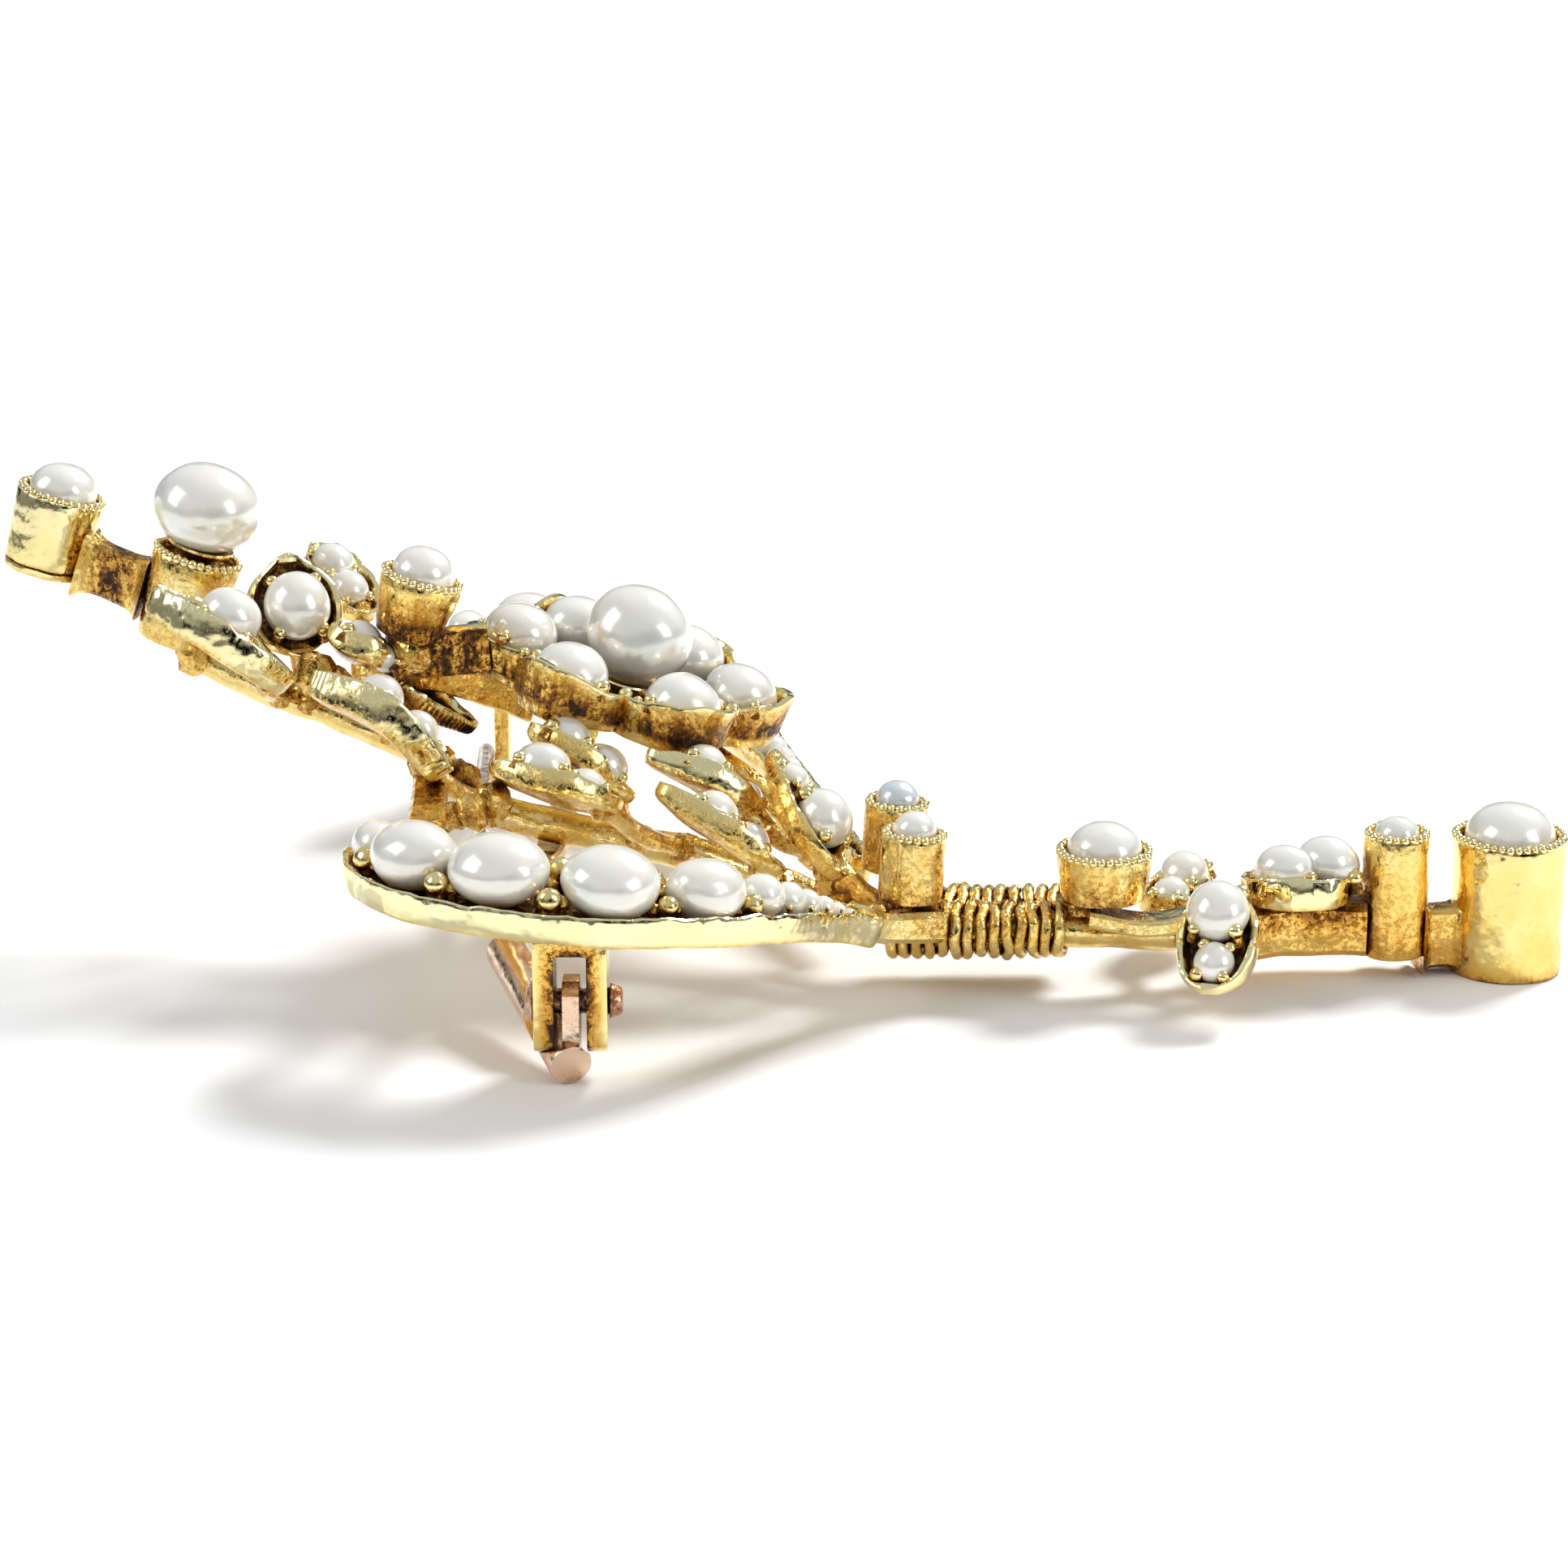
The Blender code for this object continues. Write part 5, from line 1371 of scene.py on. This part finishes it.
def softened(node, material, tone, body="brooch", bevel=0.07, painted_shade_gap=0.0):
    """A CAD piece with its edges rounded over; what lies within painted_shade_gap of its middle gets a
    dark tone as painted shade.
    """
    shape = bmesh.new()
    shape.from_mesh(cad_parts[node].data)
    bmesh.ops.remove_doubles(shape, verts=shape.verts, dist=1e-6)
    bmesh.ops.dissolve_limit(shape, angle_limit=math.radians(2), verts=shape.verts, edges=shape.edges)
    sharp = [e for e in shape.edges if len(e.link_faces) == 2 and e.calc_face_angle() > math.radians(32)]
    bmesh.ops.bevel(
        shape, geom=sharp, offset=bevel * MM, segments=3, profile=0.5, affect="EDGES", clamp_overlap=True
    )
    layer = shape.verts.layers.float.new("tone")
    low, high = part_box(node)
    middle = (low.x + high.x) / 2
    # painted shade: the inner faces near the middle, in the gap between the lugs, get a dark tone
    for vert in shape.verts:
        vert[layer] = 0.95 if abs(vert.co.x - middle) < painted_shade_gap * MM else tone
    mesh = bpy.data.meshes.new(node + "_softened")
    shape.to_mesh(mesh)
    shape.free()
    place_piece(node + "_softened", mesh, material, body, (node,), 40)


MILLEGRAIN_SPACING = 0.3
MILLEGRAIN_RADIUS = 0.165
CLAW_RADIUS = 0.27


def add_millegrain():
    values = {"Spacing": MILLEGRAIN_SPACING * MM, "Bead radius": MILLEGRAIN_RADIUS * MM}
    values.update({"Unevenness": 0.16, "Seed": 3, "Gold": BRIGHT})
    BEAD_ROW.grow("millegrain_beads", lines_mesh("rim_lines", bead_lines), values)


def add_claws():
    mesh = bpy.data.meshes.new("claw_points")
    mesh.from_pydata([tuple(set_down(place)) for place, _, _ in claw_points], [], [])
    mesh.attributes.new("claw_up", "FLOAT_VECTOR", "POINT")
    mesh.attributes.new("claw_size", "FLOAT", "POINT")
    for index, (_, up, size) in enumerate(claw_points):
        mesh.attributes["claw_up"].data[index].vector = up
        mesh.attributes["claw_size"].data[index].value = size
    values = {"Claw radius": CLAW_RADIUS * MM, "Unevenness": 0.16, "Seed": 5, "Gold": GOLD}
    PEARL_CLAWS.grow("pearl_claws", mesh, values)


# ---------------------------------------------------------------- floor, light and camera


def add_floor():
    finish = Finish("pale_floor")
    shade = finish.cloud(0.004, 2.0, 0.5)
    pale = finish.blend(shade, (0.955, 0.955, 0.955, 1.0), (0.94, 0.94, 0.94, 1.0))
    paper = finish.set(Base_Color=pale, Roughness=0.75)
    finish.shader.inputs["Specular IOR Level"].default_value = 0.15
    mesh = bpy.data.meshes.new("floor")
    side = 1.6
    corners = [(-side, -side, 0.0), (side, -side, 0.0), (side, side, 0.0), (-side, side, 0.0)]
    mesh.from_pydata(corners, [], [(0, 1, 2, 3)])
    mesh.materials.append(paper)
    floor = bpy.data.objects.new("floor", mesh)
    bpy.context.scene.collection.objects.link(floor)


def add_softbox(name, place, size, power):
    light = bpy.data.lights.new(name, "AREA")
    light.shape = "RECTANGLE"
    light.size, light.size_y = size
    light.energy = power
    lamp = bpy.data.objects.new(name, light)
    lamp.location = place
    aim = Vector((0.0, 0.0, 0.005))
    lamp.rotation_euler = (aim - Vector(place)).to_track_quat("-Z", "Y").to_euler()
    bpy.context.scene.collection.objects.link(lamp)


def add_studio():
    """A pale room with dark flags that draw the streaks in the gold, and three softboxes."""
    world = bpy.data.worlds.new("studio")
    world.use_nodes = True
    bpy.context.scene.world = world
    room = Tree(world.node_tree)
    direction = room.add("ShaderNodeTexCoord", output="Generated")
    split = room.add("ShaderNodeSeparateXYZ", {}, {"Vector": direction})
    x, y, z = (Value(room, split.socket.node.outputs[axis]) for axis in "XYZ")
    azimuth = room.add("ShaderNodeMath", {"operation": "ARCTAN2"}, {0: y, 1: x})
    flags = room.add("ShaderNodeMath", {"operation": "SINE"}, {0: azimuth * 5.0 + 0.9})
    flags = flags.rising(-0.1, 0.75) * (1 - z.rising(0.25, 0.6))
    front = (y * -1.0).rising(0.8, 0.97) * 0.28
    dark = (flags * 0.44 + front) * z.rising(0.02, 0.14)
    glow = (0.45 + z.rising(0.1, 0.6) * 0.75 - dark).clamped()
    background = world.node_tree.nodes["Background"]
    background.inputs["Color"].default_value = (0.965, 0.98, 1.0, 1.0)
    room.feed(background.inputs["Strength"], glow * 0.56)
    add_softbox("back_softbox", (0.24, 0.26, 0.36), (0.16, 0.14), 2.6)
    add_softbox("left_softbox", (-0.42, -0.12, 0.34), (0.26, 0.3), 0.7)
    add_softbox("right_softbox", (0.46, -0.26, 0.24), (0.2, 0.3), 0.6)


def add_camera():
    camera = bpy.data.cameras.new("camera")
    camera.lens = 93.17
    camera.sensor_width = 36.0
    camera.clip_start = 0.001
    camera.clip_end = 10.0
    stand = bpy.data.objects.new("camera", camera)
    elevation = math.radians(16.0)
    distance = 0.150
    aim = Vector((SHIFT.x * MM, SHIFT.y * MM, 0.005))
    stand.location = aim + Vector((0.0, -math.cos(elevation), math.sin(elevation))) * distance
    stand.rotation_euler = (math.pi / 2 - elevation, 0.0, 0.0)
    bpy.context.scene.collection.objects.link(stand)
    bpy.context.scene.camera = stand


near_scroll, far_scroll = add_scrolls()
add_leaves()
add_flower()
add_collets()
add_stems()
add_bars(near_scroll, far_scroll)
add_winding()
add_solder()
softened("pin_catch", WARM, 0.35)
softened("hinge_bracket", WARM, 0.08, bevel=0.16, painted_shade_gap=0.6)
softened("hinge_rivet", ROSE, 0.6)
softened("pin_knuckle", ROSE, 0.25, "pin_knuckle")
softened("pin_wire", ROSE, 0.2, "pin_wire", bevel=0.02)
add_millegrain()
add_claws()
add_floor()
add_studio()
add_camera()
bpy.context.scene.view_settings.view_transform = "Standard"
